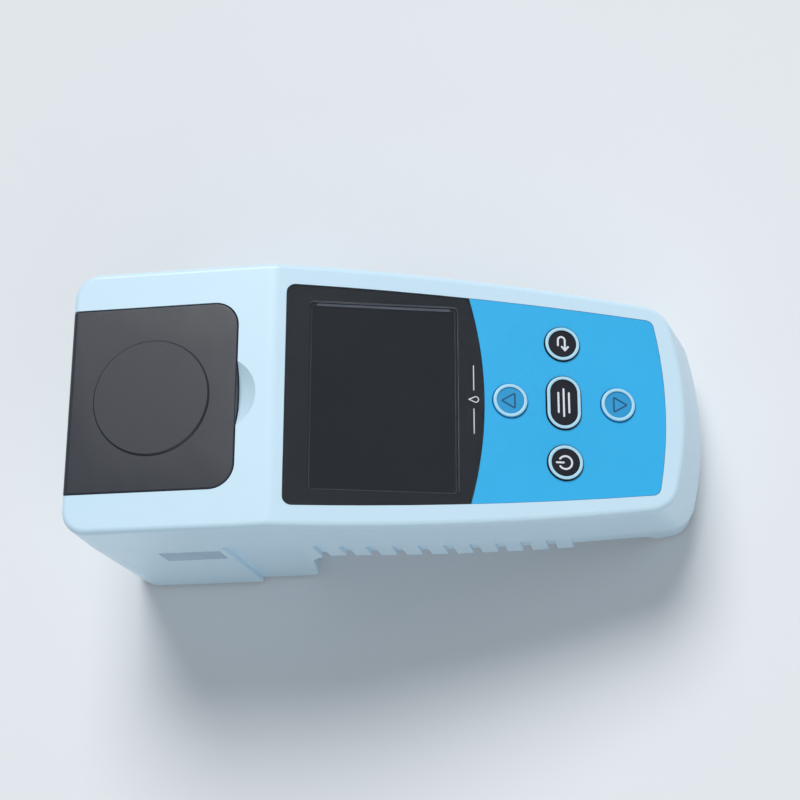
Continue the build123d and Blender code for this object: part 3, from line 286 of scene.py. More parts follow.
def make_piece(name, points, faces, body, material):
    """Object with its place in its mesh: doubles merged, faces outwards, riding on a body."""
    mesh = bpy.data.meshes.new(name)
    mesh.vertices.add(len(points))
    mesh.vertices.foreach_set("co", np.asarray(points, np.float32).ravel())
    mesh.loops.add(faces.size)
    mesh.loops.foreach_set("vertex_index", faces.astype(np.int32).ravel())
    mesh.polygons.add(len(faces))
    mesh.polygons.foreach_set("loop_start", np.arange(0, faces.size, faces.shape[1], dtype=np.int32))
    mesh.update(calc_edges=True)
    clean(mesh)
    place_piece(name, mesh, body, material, OWN_SHARP)


def clean(mesh):
    """Merges doubles, drops faces without area and turns the rest outwards."""
    work = bmesh.new()
    work.from_mesh(mesh)
    bmesh.ops.remove_doubles(work, verts=work.verts, dist=OWN_MERGE)
    bmesh.ops.dissolve_degenerate(work, edges=work.edges, dist=SHORTEST_EDGE)
    bmesh.ops.recalc_face_normals(work, faces=work.faces)
    work.to_mesh(mesh)
    work.free()


def place_piece(name, mesh, body, material, sharp_angle):
    """Puts a finished mesh into the scene as a piece of a body."""
    mesh.shade_smooth()
    mesh.set_sharp_from_angle(angle=math.radians(sharp_angle))
    mesh.materials.clear()
    mesh.materials.append(material)
    piece = bpy.data.objects.new(name, mesh)
    bpy.context.scene.collection.objects.link(piece)
    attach(piece, body)
    return piece


def soft_edges(node, width):
    """Merged copy that stands for a node, with its sharp edges rounded off as a mould leaves them."""
    piece = merged_copy(node + "_soft", node, NODES[node].data.materials[0])
    bevel = piece.modifiers.new("soft_edges", "BEVEL")
    bevel.width = width
    bevel.segments = 2
    bevel.limit_method = "ANGLE"
    bevel.angle_limit = math.radians(SOFT_SHARP)
    bevel.harden_normals = True


def merged_copy(name, node, material, change=None):
    """Merged copy of a node's mesh that stands for it, smooth between its sharp edges. The change, if there
    is one, turns the array of its points into another."""
    mesh = NODES[node].data.copy()
    mesh.name = name
    work = bmesh.new()
    work.from_mesh(mesh)
    bmesh.ops.remove_doubles(work, verts=work.verts, dist=NODE_MERGE)
    work.to_mesh(mesh)
    work.free()
    if "custom_normal" in mesh.attributes:
        mesh.attributes.remove(mesh.attributes["custom_normal"])
    if change:
        points = np.zeros(3 * len(mesh.vertices), np.float32)
        mesh.vertices.foreach_get("co", points)
        mesh.vertices.foreach_set("co", change(points.reshape(-1, 3)).astype(np.float32).ravel())
        mesh.update()
    piece = place_piece(name, mesh, BODY_OF[node], material, NODE_SHARP)
    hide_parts(node)
    return piece


def offsets(path, closed):
    """In-plane normals of a path of (x, y) points, as long as a mitred corner needs."""
    ahead = np.roll(path, -1, axis=0) - path
    behind = path - np.roll(path, 1, axis=0)
    if not closed:
        ahead[-1] = behind[-1]
        behind[0] = ahead[0]
    ahead = ahead / np.linalg.norm(ahead, axis=1, keepdims=True)
    behind = behind / np.linalg.norm(behind, axis=1, keepdims=True)
    normal = np.stack((ahead[:, 1] + behind[:, 1], -ahead[:, 0] - behind[:, 0]), axis=1)
    normal = normal / np.linalg.norm(normal, axis=1, keepdims=True)
    side = np.stack((ahead[:, 1], -ahead[:, 0]), axis=1)
    return normal / np.maximum((normal * side).sum(axis=1, keepdims=True), MITRE_SHARE)


def band(path, width, height, closed=True, sections=LINE_SECTIONS):
    """Low rounded line along a path of (x, y) points. Its section at angle t is half the width times cos t
    across the path and the height times sin t above the face, or a small share of it below, and an open
    line ends in a half circle: over its last half width the section shrinks as a circle does."""
    path = np.asarray(path, float)
    normal = offsets(path, closed)
    scale = np.ones(len(path))
    if not closed:
        for end, step in ((0, 1), (-1, -1)):
            along = path[end] - path[end + step]
            along = along / np.linalg.norm(along) * width / 2
            angles = np.linspace(0, math.pi / 2, LINE_END + 1)[1:]
            tips = path[end] + np.outer(np.sin(angles), along)
            tip_normal = np.repeat(normal[end][None], len(angles), axis=0)
            tip_scale = np.cos(angles)
            if end == 0:
                path = np.concatenate((tips[::-1], path))
                normal = np.concatenate((tip_normal, normal))
                scale = np.concatenate((tip_scale[::-1], scale))
            else:
                path = np.concatenate((path, tips))
                normal = np.concatenate((normal, tip_normal))
                scale = np.concatenate((scale, tip_scale))
    t = np.linspace(0, 2 * math.pi, sections, endpoint=False)
    across = np.cos(t) * width / 2
    above = np.where(np.sin(t) > 0, np.sin(t), np.sin(t) * SUNK_SHARE) * height
    flat = path[:, None, :] + normal[:, None, :] * (scale[:, None] * across)[:, :, None]
    rise = scale[:, None] * above[None, :]
    points = np.concatenate((flat, rise[:, :, None]), axis=2).reshape(-1, 3)
    return points, grid_faces(len(path), sections, wrap_rows=closed, wrap_columns=True)


def pillow(outline, height):
    """Low pillow inside a closed outline: at share r of the way to it, it is the height times (1 - r^6)
    high, and a flat underside closes it."""
    outline = np.asarray(outline, float)
    middle = outline.mean(axis=0)
    share = np.linspace(0, 1, PILLOW_RINGS + 1) ** 0.5
    top = middle + share[:, None, None] * (outline - middle)
    rise = np.broadcast_to((height * (1 - share**6))[:, None, None], top.shape[:2] + (1,))
    low = middle + share[::-1, None, None] * (outline - middle)
    fall = np.full(low.shape[:2] + (1,), -height * SUNK_SHARE)
    sheets = np.concatenate((np.concatenate((top, rise), axis=2), np.concatenate((low, fall), axis=2)))
    return sheets.reshape(-1, 3), grid_faces(len(sheets), len(outline), wrap_columns=True)


def joined(shapes):
    """One pair of points and faces from several."""
    points, faces, start = [], [], 0
    for shape_points, shape_faces in shapes:
        points.append(shape_points)
        faces.append(shape_faces + start)
        start += len(shape_points)
    return np.concatenate(points), np.concatenate(faces)


def placed(points, origin, axes):
    """Points given in axes of their own, about an origin given in those axes, as points of the frame."""
    return (points + origin) @ axes.T


def arc(radius, start, end, count, centre=(0.0, 0.0)):
    """Points on a circle: centre plus radius times (cos a, sin a), from start to end in degrees."""
    a = np.radians(np.linspace(start, end, count))
    return np.stack((np.cos(a), np.sin(a)), axis=1) * radius + centre


def rounded_polygon(corners, radius):
    """Closed outline with its corners rounded: each corner is a quadratic curve from one side to the next
    that starts and ends at the radius from the corner."""
    corners = np.asarray(corners, float)
    before = np.roll(corners, 1, axis=0) - corners
    after = np.roll(corners, -1, axis=0) - corners
    start = corners + before / np.linalg.norm(before, axis=1, keepdims=True) * radius
    end = corners + after / np.linalg.norm(after, axis=1, keepdims=True) * radius
    t = np.linspace(0, 1, CORNER_POINTS)[None, :, None]
    curve = (1 - t) ** 2 * start[:, None] + 2 * t * (1 - t) * corners[:, None] + t**2 * end[:, None]
    return curve.reshape(-1, 2)


def rectangle(half_width, half_length, radius):
    """Closed rectangle with rounded corners about the origin."""
    corners = np.array(((1, -1), (1, 1), (-1, 1), (-1, -1))) * (half_width, half_length)
    return rounded_polygon(corners, radius)


# Materials

class Finish:
    """Node tree of one material, built step by step on Object coordinates."""

    def __init__(self, name, colour, roughness=0.5, **sockets):
        self.material = bpy.data.materials.new(name)
        self.material.use_nodes = True
        self.tree = self.material.node_tree
        self.shader = self.tree.nodes["Principled BSDF"]
        self.place = self.node("ShaderNodeTexCoord").outputs["Object"]
        self.colour = colour
        self.set(self.shader, "Base Color", (*colour, 1.0))
        self.set(self.shader, "Roughness", roughness)
        for socket, value in sockets.items():
            self.set(self.shader, socket.replace("_", " "), value)

    def set(self, node, socket, value):
        """Links a socket to an output, or gives it a plain value."""
        if isinstance(value, bpy.types.NodeSocket):
            self.tree.links.new(value, node.inputs[socket])
        else:
            node.inputs[socket].default_value = value

    def node(self, kind, inputs=None, **settings):
        """New node with its settings and inputs."""
        node = self.tree.nodes.new(kind)
        for key, value in settings.items():
            setattr(node, key, value)
        for socket, value in (inputs or {}).items():
            self.set(node, socket, value)
        return node

    def stretched(self, scale, turn=(0.0, 0.0, 0.0)):
        """Object coordinates, turned and scaled along each axis."""
        return self.node(
            "ShaderNodeMapping", {"Vector": self.place, "Scale": scale, "Rotation": turn}
        ).outputs["Vector"]

    def noise(self, size_mm, detail=3.0, rough=0.55, place=None):
        """Noise whose features are about that size."""
        scale = 1 / (size_mm * MM)
        inputs = {"Vector": place or self.place, "Scale": scale, "Detail": detail, "Roughness": rough}
        return self.node("ShaderNodeTexNoise", inputs).outputs["Fac"]

    def cells(self, size_mm, feature="F1"):
        """Distance pattern of small cells."""
        inputs = {"Vector": self.place, "Scale": 1 / (size_mm * MM)}
        return self.node("ShaderNodeTexVoronoi", inputs, feature=feature).outputs["Distance"]

    def span(self, value, from_low, from_high, low, high):
        """Value carried over from one range to another."""
        inputs = {"Value": value, "From Min": from_low, "From Max": from_high, "To Min": low, "To Max": high}
        return self.node("ShaderNodeMapRange", inputs).outputs["Result"]

    def maths(self, operation, first, second=0.0):
        """Result of one step of arithmetic on two values."""
        node = self.node("ShaderNodeMath", operation=operation)
        self.set(node, 0, first)
        self.set(node, 1, second)
        return node.outputs["Value"]

    def mix(self, share, first, second):
        """Colour between two colours."""
        node = self.node("ShaderNodeMix", data_type="RGBA")
        self.set(node, MIX_SHARE, share)
        for socket, value in ((MIX_FIRST, first), (MIX_SECOND, second)):
            self.set(node, socket, value if isinstance(value, bpy.types.NodeSocket) else (*value, 1.0))
        return node.outputs[MIX_RESULT]

    def shade(self, value, darker=0.93, lighter=1.04):
        """The material's own colour, darker where the value is low and lighter where it is high."""
        low = tuple(c * darker for c in self.colour)
        high = tuple(min(1.0, c * lighter) for c in self.colour)
        return self.mix(value, low, high)

    def base(self, colour):
        """Gives the shader its colour."""
        self.set(self.shader, "Base Color", colour)

    def rough(self, noise, low, high):
        """Roughness from low to high over the range in which a noise mostly stays."""
        self.set(self.shader, "Roughness", self.span(noise, NOISE_LOW, NOISE_HIGH, low, high))

    def bump(self, height, depth_mm, strength=1.0, under=None):
        """Bump of a real depth from a height between 0 and 1."""
        inputs = {"Height": height, "Distance": depth_mm * MM, "Strength": strength}
        if under is not None:
            inputs["Normal"] = under
        normal = self.node("ShaderNodeBump", inputs).outputs["Normal"]
        self.set(self.shader, "Normal", normal)
        return normal


def moulded(name, colour, roughness, grain_mm=0.28, depth_mm=0.012, mottle=(0.97, 1.02), **sockets):
    """Moulded plastic with a fine eroded grain: small pits, slow drifts of colour and a little haze."""
    finish = Finish(name, colour, **sockets)
    drift = finish.noise(38.0, 2.0)
    haze = finish.noise(9.0, 3.0)
    grain = finish.noise(grain_mm, 3.0, 0.6)
    finish.base(finish.shade(drift, *mottle))
    blend = finish.maths("ADD", finish.maths("MULTIPLY", haze, 0.65), finish.maths("MULTIPLY", grain, 0.35))
    finish.rough(blend, roughness - 0.07, roughness + 0.07)
    pits = finish.cells(grain_mm * 1.6, "SMOOTH_F1")
    finish.bump(finish.maths("ADD", grain, finish.maths("MULTIPLY", pits, 0.5)), depth_mm)
    return finish


def rubber(name, colour, roughness=0.72, grain_mm=0.4, depth_mm=0.02):
    """Matt rubber with a dusty bloom in its fine grain."""
    finish = Finish(name, colour, roughness, Specular_IOR_Level=0.35)
    grain = finish.noise(grain_mm, 4.0, 0.65)
    bloom = finish.noise(6.0, 3.0)
    finish.base(finish.shade(finish.maths("MULTIPLY", grain, bloom), 0.85, 1.5))
    finish.rough(grain, roughness - 0.08, roughness + 0.08)
    finish.bump(grain, depth_mm)
    return finish


def foam(name, colour, cell_mm=0.55):
    """Closed-cell foam: a field of small round cells, with painted shade in their hollows."""
    finish = Finish(name, colour, 0.9, Specular_IOR_Level=0.2)
    cell = finish.cells(cell_mm)
    # Painted shade: the hollows of the cells are coloured darker
    finish.base(finish.shade(finish.span(cell, 0.1, 0.7, 0.0, 1.0), 0.6, 1.3))
    finish.bump(cell, 0.12)
    return finish


def steel(name, colour, roughness=0.28, stretch=(1.0, 1.0, 1.0)):
    """Plated steel with fine marks, drawn out along an axis whose stretch is small."""
    finish = Finish(name, colour, roughness, Metallic=1.0)
    marks = finish.noise(0.25, 3.0, 0.6, finish.stretched(stretch))
    stain = finish.noise(3.0, 2.0)
    finish.base(finish.shade(stain, 0.86, 1.05))
    finish.rough(marks, roughness - 0.08, roughness + 0.14)
    finish.bump(marks, 0.004)
    return finish


def circuit_board(name):
    """Green board: solder mask over a maze of tracks, and small bright pads."""
    plain, gap, track = srgb(22, 92, 58), srgb(18, 80, 50), srgb(40, 122, 78)
    stain, pad = srgb(12, 60, 40), srgb(205, 190, 140)
    finish = Finish(name, plain, 0.32)
    turned = finish.stretched((1.0, 1.0, 1.0), (0.0, 0.0, math.radians(45)))
    bricks = {"Scale": 1 / (9 * MM), "Mortar Size": 0.035, "Brick Width": 0.9, "Row Height": 0.25}
    tracks = finish.node("ShaderNodeTexBrick", {"Vector": turned, **bricks}).outputs["Fac"]
    pads = finish.span(finish.cells(2.6), 0.10, 0.14, 1.0, 0.0)
    drift = finish.noise(7.0, 3.0)
    mask = finish.mix(tracks, gap, track)
    mask = finish.mix(finish.maths("MULTIPLY", drift, 0.35), mask, stain)
    finish.base(finish.mix(pads, mask, pad))
    finish.set(finish.shader, "Metallic", finish.maths("MULTIPLY", pads, 0.8))
    finish.bump(finish.maths("ADD", tracks, pads), 0.03)
    return finish


def clear_sheet(name, tint, roughness):
    """Clear hard plastic with faint wiping marks in its gloss."""
    finish = Finish(name, tint, roughness, Transmission_Weight=1.0, IOR=1.5)
    wipe = finish.noise(14.0, 4.0, 0.7, finish.stretched((1.0, 0.35, 1.0)))
    finish.set(finish.shader, "Roughness", finish.span(wipe, 0.35, 0.75, roughness, roughness + 0.05))
    return finish


def gloss_print(name, colour, roughness=0.3, grain_mm=0.12, depth_mm=0.003):
    """Printed plastic sheet: even colour with the faint dots and orange peel of the print."""
    finish = Finish(name, colour, roughness)
    dots = finish.noise(grain_mm, 2.0, 0.5)
    peel = finish.noise(1.4, 2.0, 0.5)
    drift = finish.noise(25.0, 2.0)
    finish.base(finish.shade(finish.maths("MULTIPLY", dots, drift), 0.96, 1.12))
    finish.rough(peel, roughness - 0.04, roughness + 0.06)
    finish.bump(peel, depth_mm * 2, 0.5, finish.bump(dots, depth_mm))
    return finish


def dress(finish, *nodes):
    """Gives nodes their finish."""
    for node in nodes:
        mesh = NODES[node].data
        mesh.materials.clear()
        mesh.materials.append(finish.material)


# Operators

class METER_OT_housings(bpy.types.Operator):
    """Gives both housings and the battery door their pale satin finish"""
    bl_idname = "meter.housings"
    bl_label = "Dress the housings"

    def execute(self, context):
        colours = context.scene.meter_colours
        shell = moulded("shell_satin", colours.shell, roughness=0.36, Coat_Weight=0.12, Coat_Roughness=0.22)
        dress(shell, "upper_housing", "lower_housing", "battery_door")
        return {"FINISHED"}


class METER_OT_lid(bpy.types.Operator):
    """Gives the lid, its liner, its foam ring and its pin their finishes"""
    bl_idname = "meter.lid"
    bl_label = "Dress the lid"

    def execute(self, context):
        colours, sizes = context.scene.meter_colours, context.scene.meter_sizes
        slate = moulded(
            "lid_slate", colours.lid, roughness=0.42, grain_mm=0.32, depth_mm=0.018, mottle=(0.93, 1.08)
        )
        dress(slate, "lid_cover", "lid_liner")
        soft_edges("lid_cover", sizes.soft_edge)
        dress(foam("seal_foam", srgb(34, 34, 36)), "lid_seal")
        dress(steel("hinge_steel", srgb(186, 186, 188), stretch=(0.05, 1.0, 1.0)), "lid_hinge_pin")
        return {"FINISHED"}


class METER_OT_display(bpy.types.Operator):
    """Clear sheet, printed border with its mark, foam frame and dark panel"""
    bl_idname = "meter.display"
    bl_label = "Dress the display"

    def execute(self, context):
        colours, sizes = context.scene.meter_colours, context.scene.meter_sizes
        border = gloss_print("border_print", colours.border, 0.34).material
        merged_copy("display_border", "display_mask", border)
        dress(foam("gasket_foam", colours.gasket, 0.4), "display_gasket")
        dress(moulded("module_frame", srgb(120, 122, 128), 0.45), "lcd_module")
        self.panel(colours, sizes)
        self.sheet(sizes, border)
        self.mark(colours, sizes)
        return {"FINISHED"}

    def sheet(self, sizes, border):
        """Clear sheet a little above the border print, with its cut rim printed too."""
        low, high = node_box("display_window")
        middle = (low[2] + high[2]) / 2

        def lifted(points):
            under = points @ OUT < middle
            return points + np.outer(under, OUT) * sizes.sheet_lift

        clear = clear_sheet("clear_polycarbonate", srgb(246, 249, 252), 0.03)
        piece = merged_copy("clear_sheet", "display_window", clear.material, lifted)
        piece.data.materials.append(border)
        normals = np.zeros(3 * len(piece.data.polygons), np.float32)
        piece.data.polygons.foreach_get("normal", normals)
        sideways = np.abs(normals.reshape(-1, 3) @ OUT) < 0.5
        piece.data.polygons.foreach_set("material_index", sideways.astype(np.int32))

    def panel(self, colours, sizes):
        """Dark panel with painted highlights: a fine line where its own bezel ends, a brighter one along one edge.
        """
        finish = Finish("panel_glass", colours.panel, 0.3, Specular_IOR_Level=0.3)
        tint = finish.noise(30.0, 2.0)
        finish.base(finish.shade(tint, 0.94, 1.1))
        finish.rough(tint, 0.26, 0.36)
        finish.bump(finish.noise(3.0), 0.002, 0.3)
        dress(finish, "lcd_panel")
        low, high = node_box("lcd_panel")
        gasket_low, gasket_high = node_box("display_gasket")
        place = ((low[0] + high[0]) / 2, (low[1] + high[1]) / 2, high[2])
        # Painted highlight: a fine light line round the panel for the lit walls of its recess
        half = (gasket_high - gasket_low) / 2 - sizes.line_inset
        outline = rectangle(half[0], half[1], sizes.line_corner)
        points, faces = band(outline, sizes.fine_stroke, sizes.print_height)
        frame_highlight = gloss_print("frame_highlight_line", colours.frame_highlight_line, 0.35).material
        make_piece("panel_frame_highlight", placed(points, place, HANDLE), faces, "root", frame_highlight)
        # Painted highlight: a brighter line along the panel's edge on one side only, where its recess wall catches
        # the light
        end = half[1] - sizes.edge_short
        edge = np.array(((half[0], -end), (half[0], end)))
        points, faces = band(edge, sizes.edge_stroke, 2 * sizes.print_height, closed=False)
        glint = gloss_print("edge_glint", colours.edge_glint, 0.3).material
        make_piece("panel_edge_glint", placed(points, place, HANDLE), faces, "root", glint)

    def mark(self, colours, sizes):
        """Drop between two short rules, where the border has its print. The drop is an arc of 0.3 of its
        height about a point 0.2 of it below the middle, and its tip is 0.5 of it above the middle."""
        low, high = node_box("display_window")
        height = sizes.drop_height
        round_end = arc(0.3 * height, -205, 25, 25, (0.0, -0.2 * height))
        drop = np.concatenate((round_end, ((0.0, 0.5 * height),)))
        shapes = [band(drop, sizes.fine_stroke, sizes.print_height)]
        for side in (-1, 1):
            rule = np.array(((side * sizes.rule_start, 0.0), (side * sizes.rule_end, 0.0)))
            shapes.append(band(rule, sizes.fine_stroke, sizes.print_height, closed=False))
        points, faces = joined(shapes)
        place = (0.0, low[1] + sizes.mark_back, high[2])
        light = gloss_print("light_print", colours.mark, 0.4)
        make_piece("border_mark", placed(points, place, HANDLE), faces, "root", light.material)


class METER_OT_keypad(bpy.types.Operator):
    """Printed sheet, keys, their raised rims and their marks"""
    bl_idname = "meter.keypad"
    bl_label = "Dress the keypad"

    def execute(self, context):
        colours, sizes = context.scene.meter_colours, context.scene.meter_sizes
        sheet = gloss_print("keypad_print", colours.keypad, roughness=0.36, grain_mm=0.18, depth_mm=0.006)
        dress(sheet, "keypad_membrane")
        black = moulded(
            "key_black", colours.key, roughness=0.3, grain_mm=0.2, depth_mm=0.005, mottle=(0.85, 1.2)
        )
        dress(black, *ROUND_KEYS)
        blue = moulded("key_arrow_blue", colours.arrow, roughness=0.34, grain_mm=0.2, depth_mm=0.005)
        dress(blue, *ARROW_KEYS)
        dress(rubber("dome_mat", srgb(150, 152, 154)), "key_mat")
        # The rims' lighter colour is a painted highlight on their raised bevel
        ring = moulded("key_ring_highlight", colours.ring, roughness=0.32, grain_mm=0.2, depth_mm=0.004).material
        light = gloss_print("key_mark_light", colours.mark, 0.4).material
        dark = gloss_print("key_mark_blue", colours.arrow_mark, 0.4).material
        for key in (*ROUND_KEYS, *ARROW_KEYS):
            self.rim(key, ring, sizes)
            material = dark if key in ARROW_KEYS else light
            self.put_mark(key, self.marks(key, sizes), material, sizes)
        return {"FINISHED"}

    def rim(self, key, material, sizes):
        """Raised rim that follows a key's border, whose points are its outline moved in along its normals."""
        points = node_points(key) @ HANDLE
        top = points[:, 2].max()
        upper = points[points[:, 2] > top - BORDER_DEPTH][:, :2]
        outline = upper[convex_hull_2d([tuple(point) for point in upper])]
        step = np.linalg.norm(outline - np.roll(outline, 1, axis=0), axis=1)
        outline = outline[step > SHORTEST_STEP]
        outline = outline - offsets(outline, True) * (sizes.ring_width / 2 + sizes.ring_inset)
        points, faces = band(outline, sizes.ring_width, sizes.ring_height, sections=RING_SECTIONS)
        place = (0.0, 0.0, top)
        make_piece(key + "_rim", placed(points, place, HANDLE), faces, BODY_OF[key], material)

    def cap(self, key):
        """Lowest and highest corner of the part of a key that stands above the sheet."""
        points = node_points(key) @ HANDLE
        top = points[:, 2].max()
        upper = points[points[:, 2] > top - CAP_DEPTH]
        return upper.min(0), upper.max(0)

    def marks(self, key, sizes):
        """Lines of a key's mark, as (path, closed) in metres about the key's middle."""
        if key in ARROW_KEYS:
            turn = 90 if key == "up_key" else -90
            corners = arc(sizes.arrow_size, turn, turn + 240, 3)
            return [(rounded_polygon(corners, sizes.arrow_corner), True)]
        if key == "power_key":
            ring = arc(POWER_RING * MM, *POWER_RING_ENDS, 40)
            return [(ring, False), (np.array(POWER_BAR) * MM, False)]
        if key == "return_key":
            bend = arc(RETURN_BEND, -90, 90, 15, RETURN_BEND_MIDDLE)
            hook = np.concatenate((RETURN_SHAFT, bend[1:], RETURN_TAIL[1:]))
            return [(hook * MM, False), (np.array(RETURN_HEAD) * MM, False)]
        return [(np.array(((-half, row), (half, row))) * MM, False) for row, half in MIDDLE_LINES]

    def put_mark(self, key, paths, material, sizes):
        """Prints a mark on the sunk face of its key."""
        low, high = self.cap(key)
        place = ((low[0] + high[0]) / 2, (low[1] + high[1]) / 2, high[2] - sizes.dish)
        shapes = [band(path, sizes.stroke, sizes.print_height, closed) for path, closed in paths]
        points, faces = joined(shapes)
        make_piece(key + "_mark", placed(points, place, HANDLE), faces, BODY_OF[key], material)


class METER_OT_underside(bpy.types.Operator):
    """Feet, tail pad, screws and the arrow on the battery door"""
    bl_idname = "meter.underside"
    bl_label = "Dress the underside"

    def execute(self, context):
        dress(rubber("foot_rubber", srgb(44, 44, 47)), "rubber_feet", "tail_pad")
        screw = steel("screw_steel", srgb(178, 180, 184), 0.34)
        dress(screw, "housing_screws", "board_screws", "block_screws")
        dress(foam("door_foam", srgb(52, 53, 56)), "door_pad")
        self.door_arrow(context.scene.meter_sizes)
        return {"FINISHED"}

    def door_arrow(self, sizes):
        """Raised arrow on the battery door that points to the end that swings out."""
        under = np.column_stack((ACROSS, -UP_HANDLE, -OUT))
        low, high = node_box("battery_door", under)
        flat = high[2] - DOOR_RIDGE
        corners = arc(sizes.door_arrow, -90, 150, 3)
        points, faces = pillow(rounded_polygon(corners, sizes.door_arrow_corner), sizes.door_arrow_height)
        place = ((low[0] + high[0]) / 2, low[1] + sizes.door_arrow_back, flat)
        shell = NODES["battery_door"].data.materials[0]
        make_piece("door_arrow", placed(points, place, under), faces, "battery_door", shell)


class METER_OT_well(bpy.types.Operator):
    """Collar, optical block, lamp, detectors and lens"""
    bl_idname = "meter.well"
    bl_label = "Dress the well"

    def execute(self, context):
        dress(moulded("collar_black", srgb(40, 40, 44), 0.4), "well_collar")
        block = moulded("block_black", srgb(30, 30, 33), roughness=0.62, grain_mm=0.4, depth_mm=0.03)
        dress(block, "optical_block")
        barrel = moulded("barrel_black", srgb(36, 36, 40), 0.35)
        dress(barrel, "light_source", "scatter_detector", "transmission_detector")
        dress(clear_sheet("lens_glass", srgb(240, 246, 250), 0.01), "source_lens")
        return {"FINISHED"}


class METER_OT_inside(bpy.types.Operator):
    """Boards, ribbon, sounder, battery tray, cells and contacts"""
    bl_idname = "meter.inside"
    bl_label = "Dress the inner parts"

    def execute(self, context):
        dress(circuit_board("circuit_board"), "main_board", "sensor_board", "port_board")
        dress(moulded("tray_black", srgb(38, 38, 42), 0.5), "battery_tray", "buzzer")
        dress(steel("contact_plate", srgb(214, 208, 190), 0.22), "battery_contacts")
        dress(self.ribbon(), "sensor_ribbon")
        dress(self.cells(), "battery_cells")
        return {"FINISHED"}

    def ribbon(self):
        """Flat cable with its leads side by side, 0.63 mm apart."""
        finish = Finish("ribbon_cable", srgb(206, 204, 196), 0.4)
        inputs = {"Vector": finish.place, "Scale": 0.5 / MM, "Distortion": 0.0}
        wave = finish.node("ShaderNodeTexWave", inputs, wave_type="BANDS", bands_direction="X")
        leads = wave.outputs["Fac"]
        finish.base(finish.shade(leads, 0.62, 1.05))
        finish.bump(leads, 0.1)
        return finish

    def cells(self):
        """Plain cell wrap in two tones: pale at one end, blue over the rest."""
        wrap, pale = srgb(44, 92, 142), srgb(196, 198, 202)
        finish = Finish("cell_wrap", wrap, 0.3, Coat_Weight=0.3)
        along = finish.stretched((1.0, 1.0, 1.0), (-math.atan2(UP_HANDLE[2], UP_HANDLE[1]), 0.0, 0.0))
        split = finish.node("ShaderNodeSeparateXYZ", {"Vector": along}).outputs["Y"]
        low, high = node_box("battery_cells")
        edge = low[1] + (high[1] - low[1]) * PALE_SHARE
        share = finish.span(split, edge, edge + PALE_BLUR, 0.0, 1.0)
        wrinkle = finish.noise(5.0, 4.0)
        finish.base(finish.mix(share, pale, wrap))
        finish.rough(wrinkle, 0.24, 0.4)
        finish.bump(wrinkle, 0.03)
        return finish


class METER_OT_port(bpy.types.Operator):
    """Rubber cover and metal socket of the port"""
    bl_idname = "meter.port"
    bl_label = "Dress the port"

    def execute(self, context):
        cover = rubber("cover_rubber", srgb(170, 194, 212), roughness=0.6, grain_mm=0.3, depth_mm=0.015)
        dress(cover, "port_cover")
        dress(steel("socket_steel", srgb(196, 197, 200), 0.25), "usb_socket")
        return {"FINISHED"}


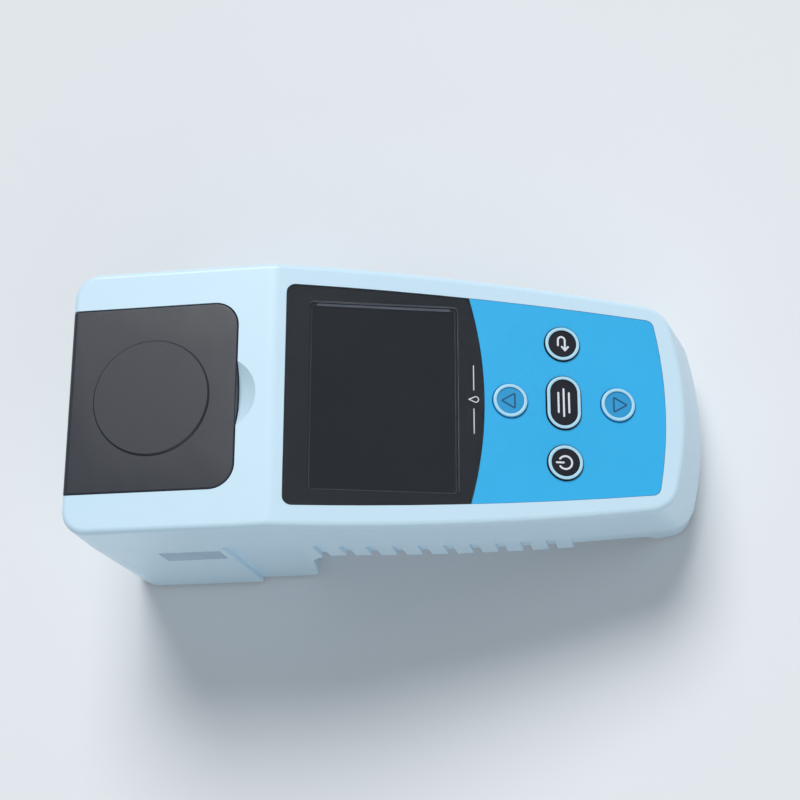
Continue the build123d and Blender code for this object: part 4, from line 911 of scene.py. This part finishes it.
class METER_OT_stage(bpy.types.Operator):
    """Floor, world, lamps and camera"""
    bl_idname = "meter.stage"
    bl_label = "Set the stage"

    def execute(self, context):
        stage = context.scene.meter_stage
        self.floor(stage)
        self.world(context.scene, stage)
        self.lamp("key_lamp", stage.key_place, stage.key_spread, stage.key)
        self.lamp("fill_lamp", stage.fill_place, stage.fill_spread, stage.fill)
        self.camera(context.scene, stage)
        context.scene.view_settings.view_transform = "Standard"
        return {"FINISHED"}

    def floor(self, stage):
        """Large round sheet at the height of the feet: on each ring, radius times (cos a, sin a)."""
        a = np.linspace(0, 2 * math.pi, FLOOR_SIDES, endpoint=False)
        radii = np.array(FLOOR_RADII)
        flat = radii[:, None, None] * np.stack((np.cos(a), np.sin(a)), axis=1)[None]
        level = np.full(flat.shape[:2] + (1,), CAD_BOX[0].z)
        points = np.concatenate((flat, level), axis=2).reshape(-1, 3)
        mesh = bpy.data.meshes.new("floor")
        mesh.from_pydata(points.tolist(), [], grid_faces(len(radii), len(a), wrap_columns=True).tolist())
        clean(mesh)
        if mesh.polygons[0].normal.z < 0:
            mesh.flip_normals()
        finish = Finish("floor_paper", stage.floor, 0.85, Specular_IOR_Level=0.2)
        fibre = finish.noise(1.2, 4.0, 0.6)
        finish.base(finish.shade(finish.noise(60.0, 2.0), 0.985, 1.0))
        finish.bump(fibre, 0.02, 0.4)
        self.clear_from_below(finish)
        mesh.materials.append(finish.material)
        piece = bpy.data.objects.new("floor", mesh)
        bpy.context.scene.collection.objects.link(piece)

    def clear_from_below(self, finish):
        """Lets the underside of the meter be seen through the floor's lower face."""
        behind = finish.node("ShaderNodeNewGeometry").outputs["Backfacing"]
        clear = finish.node("ShaderNodeBsdfTransparent").outputs["BSDF"]
        choose = finish.node("ShaderNodeMixShader")
        finish.set(choose, 0, behind)
        finish.set(choose, 1, finish.shader.outputs["BSDF"])
        finish.set(choose, 2, clear)
        finish.tree.links.new(choose.outputs[0], finish.tree.nodes["Material Output"].inputs["Surface"])

    def world(self, scene, stage):
        """Even light from all round, and a pale background for the camera."""
        world = bpy.data.worlds.new("soft_room")
        world.use_nodes = True
        nodes, links = world.node_tree.nodes, world.node_tree.links
        light = nodes["Background"]
        light.inputs["Color"].default_value = (*stage.sky, 1.0)
        light.inputs["Strength"].default_value = stage.world
        seen = nodes.new("ShaderNodeBackground")
        seen.inputs["Color"].default_value = (*stage.floor, 1.0)
        seen.inputs["Strength"].default_value = 1.0
        choose = nodes.new("ShaderNodeMixShader")
        path = nodes.new("ShaderNodeLightPath")
        links.new(path.outputs["Is Camera Ray"], choose.inputs[0])
        links.new(light.outputs[0], choose.inputs[1])
        links.new(seen.outputs[0], choose.inputs[2])
        links.new(choose.outputs[0], nodes["World Output"].inputs["Surface"])
        scene.world = world

    def lamp(self, name, place, spread, strength):
        """Even light from one side, as wide in the sky as its spread."""
        data = bpy.data.lights.new(name, "SUN")
        data.angle = spread
        data.energy = strength
        lamp = bpy.data.objects.new(name, data)
        bpy.context.scene.collection.objects.link(lamp)
        lamp.location = place
        lamp.rotation_mode = "QUATERNION"
        lamp.rotation_quaternion = (LAMP_AIM - Vector(place)).to_track_quat("-Z", "Y")

    def camera(self, scene, stage):
        """Camera at the photograph's place, aimed at the meter, with the photograph's way up."""
        data = bpy.data.cameras.new("camera")
        data.lens = stage.lens
        data.sensor_width = SENSOR_WIDTH
        data.clip_start, data.clip_end = 0.02, 50.0
        camera = bpy.data.objects.new("camera", data)
        scene.collection.objects.link(camera)
        place = Vector(stage.camera_place)
        back = (place - Vector(stage.aim)).normalized()
        right = Vector(stage.camera_up).cross(back).normalized()
        up = back.cross(right)
        axes = Matrix((right, up, back)).transposed()
        camera.location = place
        camera.rotation_mode = "QUATERNION"
        camera.rotation_quaternion = axes.to_quaternion()
        scene.camera = camera


OPERATORS = (
    METER_OT_housings,
    METER_OT_lid,
    METER_OT_display,
    METER_OT_keypad,
    METER_OT_underside,
    METER_OT_well,
    METER_OT_inside,
    METER_OT_port,
    METER_OT_stage,
)


class METER_PT_panel(bpy.types.Panel):
    """Settings and operators of the meter"""
    bl_label = "Turbidity meter"
    bl_idname = "METER_PT_panel"
    bl_space_type = "VIEW_3D"
    bl_region_type = "UI"
    bl_category = "Meter"

    def draw(self, context):
        for group in (context.scene.meter_colours, context.scene.meter_sizes, context.scene.meter_stage):
            box = self.layout.box()
            for name in group.__annotations__:
                box.prop(group, name)
        for operator in OPERATORS:
            self.layout.operator(operator.bl_idname)


GROUPS = {"meter_colours": MeterColours, "meter_sizes": MeterSizes, "meter_stage": MeterStage}
CLASSES = (*GROUPS.values(), *OPERATORS, METER_PT_panel)


def register():
    for item in CLASSES:
        bpy.utils.register_class(item)
    for name, group in GROUPS.items():
        setattr(bpy.types.Scene, name, PointerProperty(type=group))


def unregister():
    for name in GROUPS:
        delattr(bpy.types.Scene, name)
    for item in reversed(CLASSES):
        bpy.utils.unregister_class(item)


def main():
    register()
    for operator in OPERATORS:
        group, name = operator.bl_idname.split(".")
        getattr(getattr(bpy.ops, group), name)()


if __name__ == "__main__":
    main()
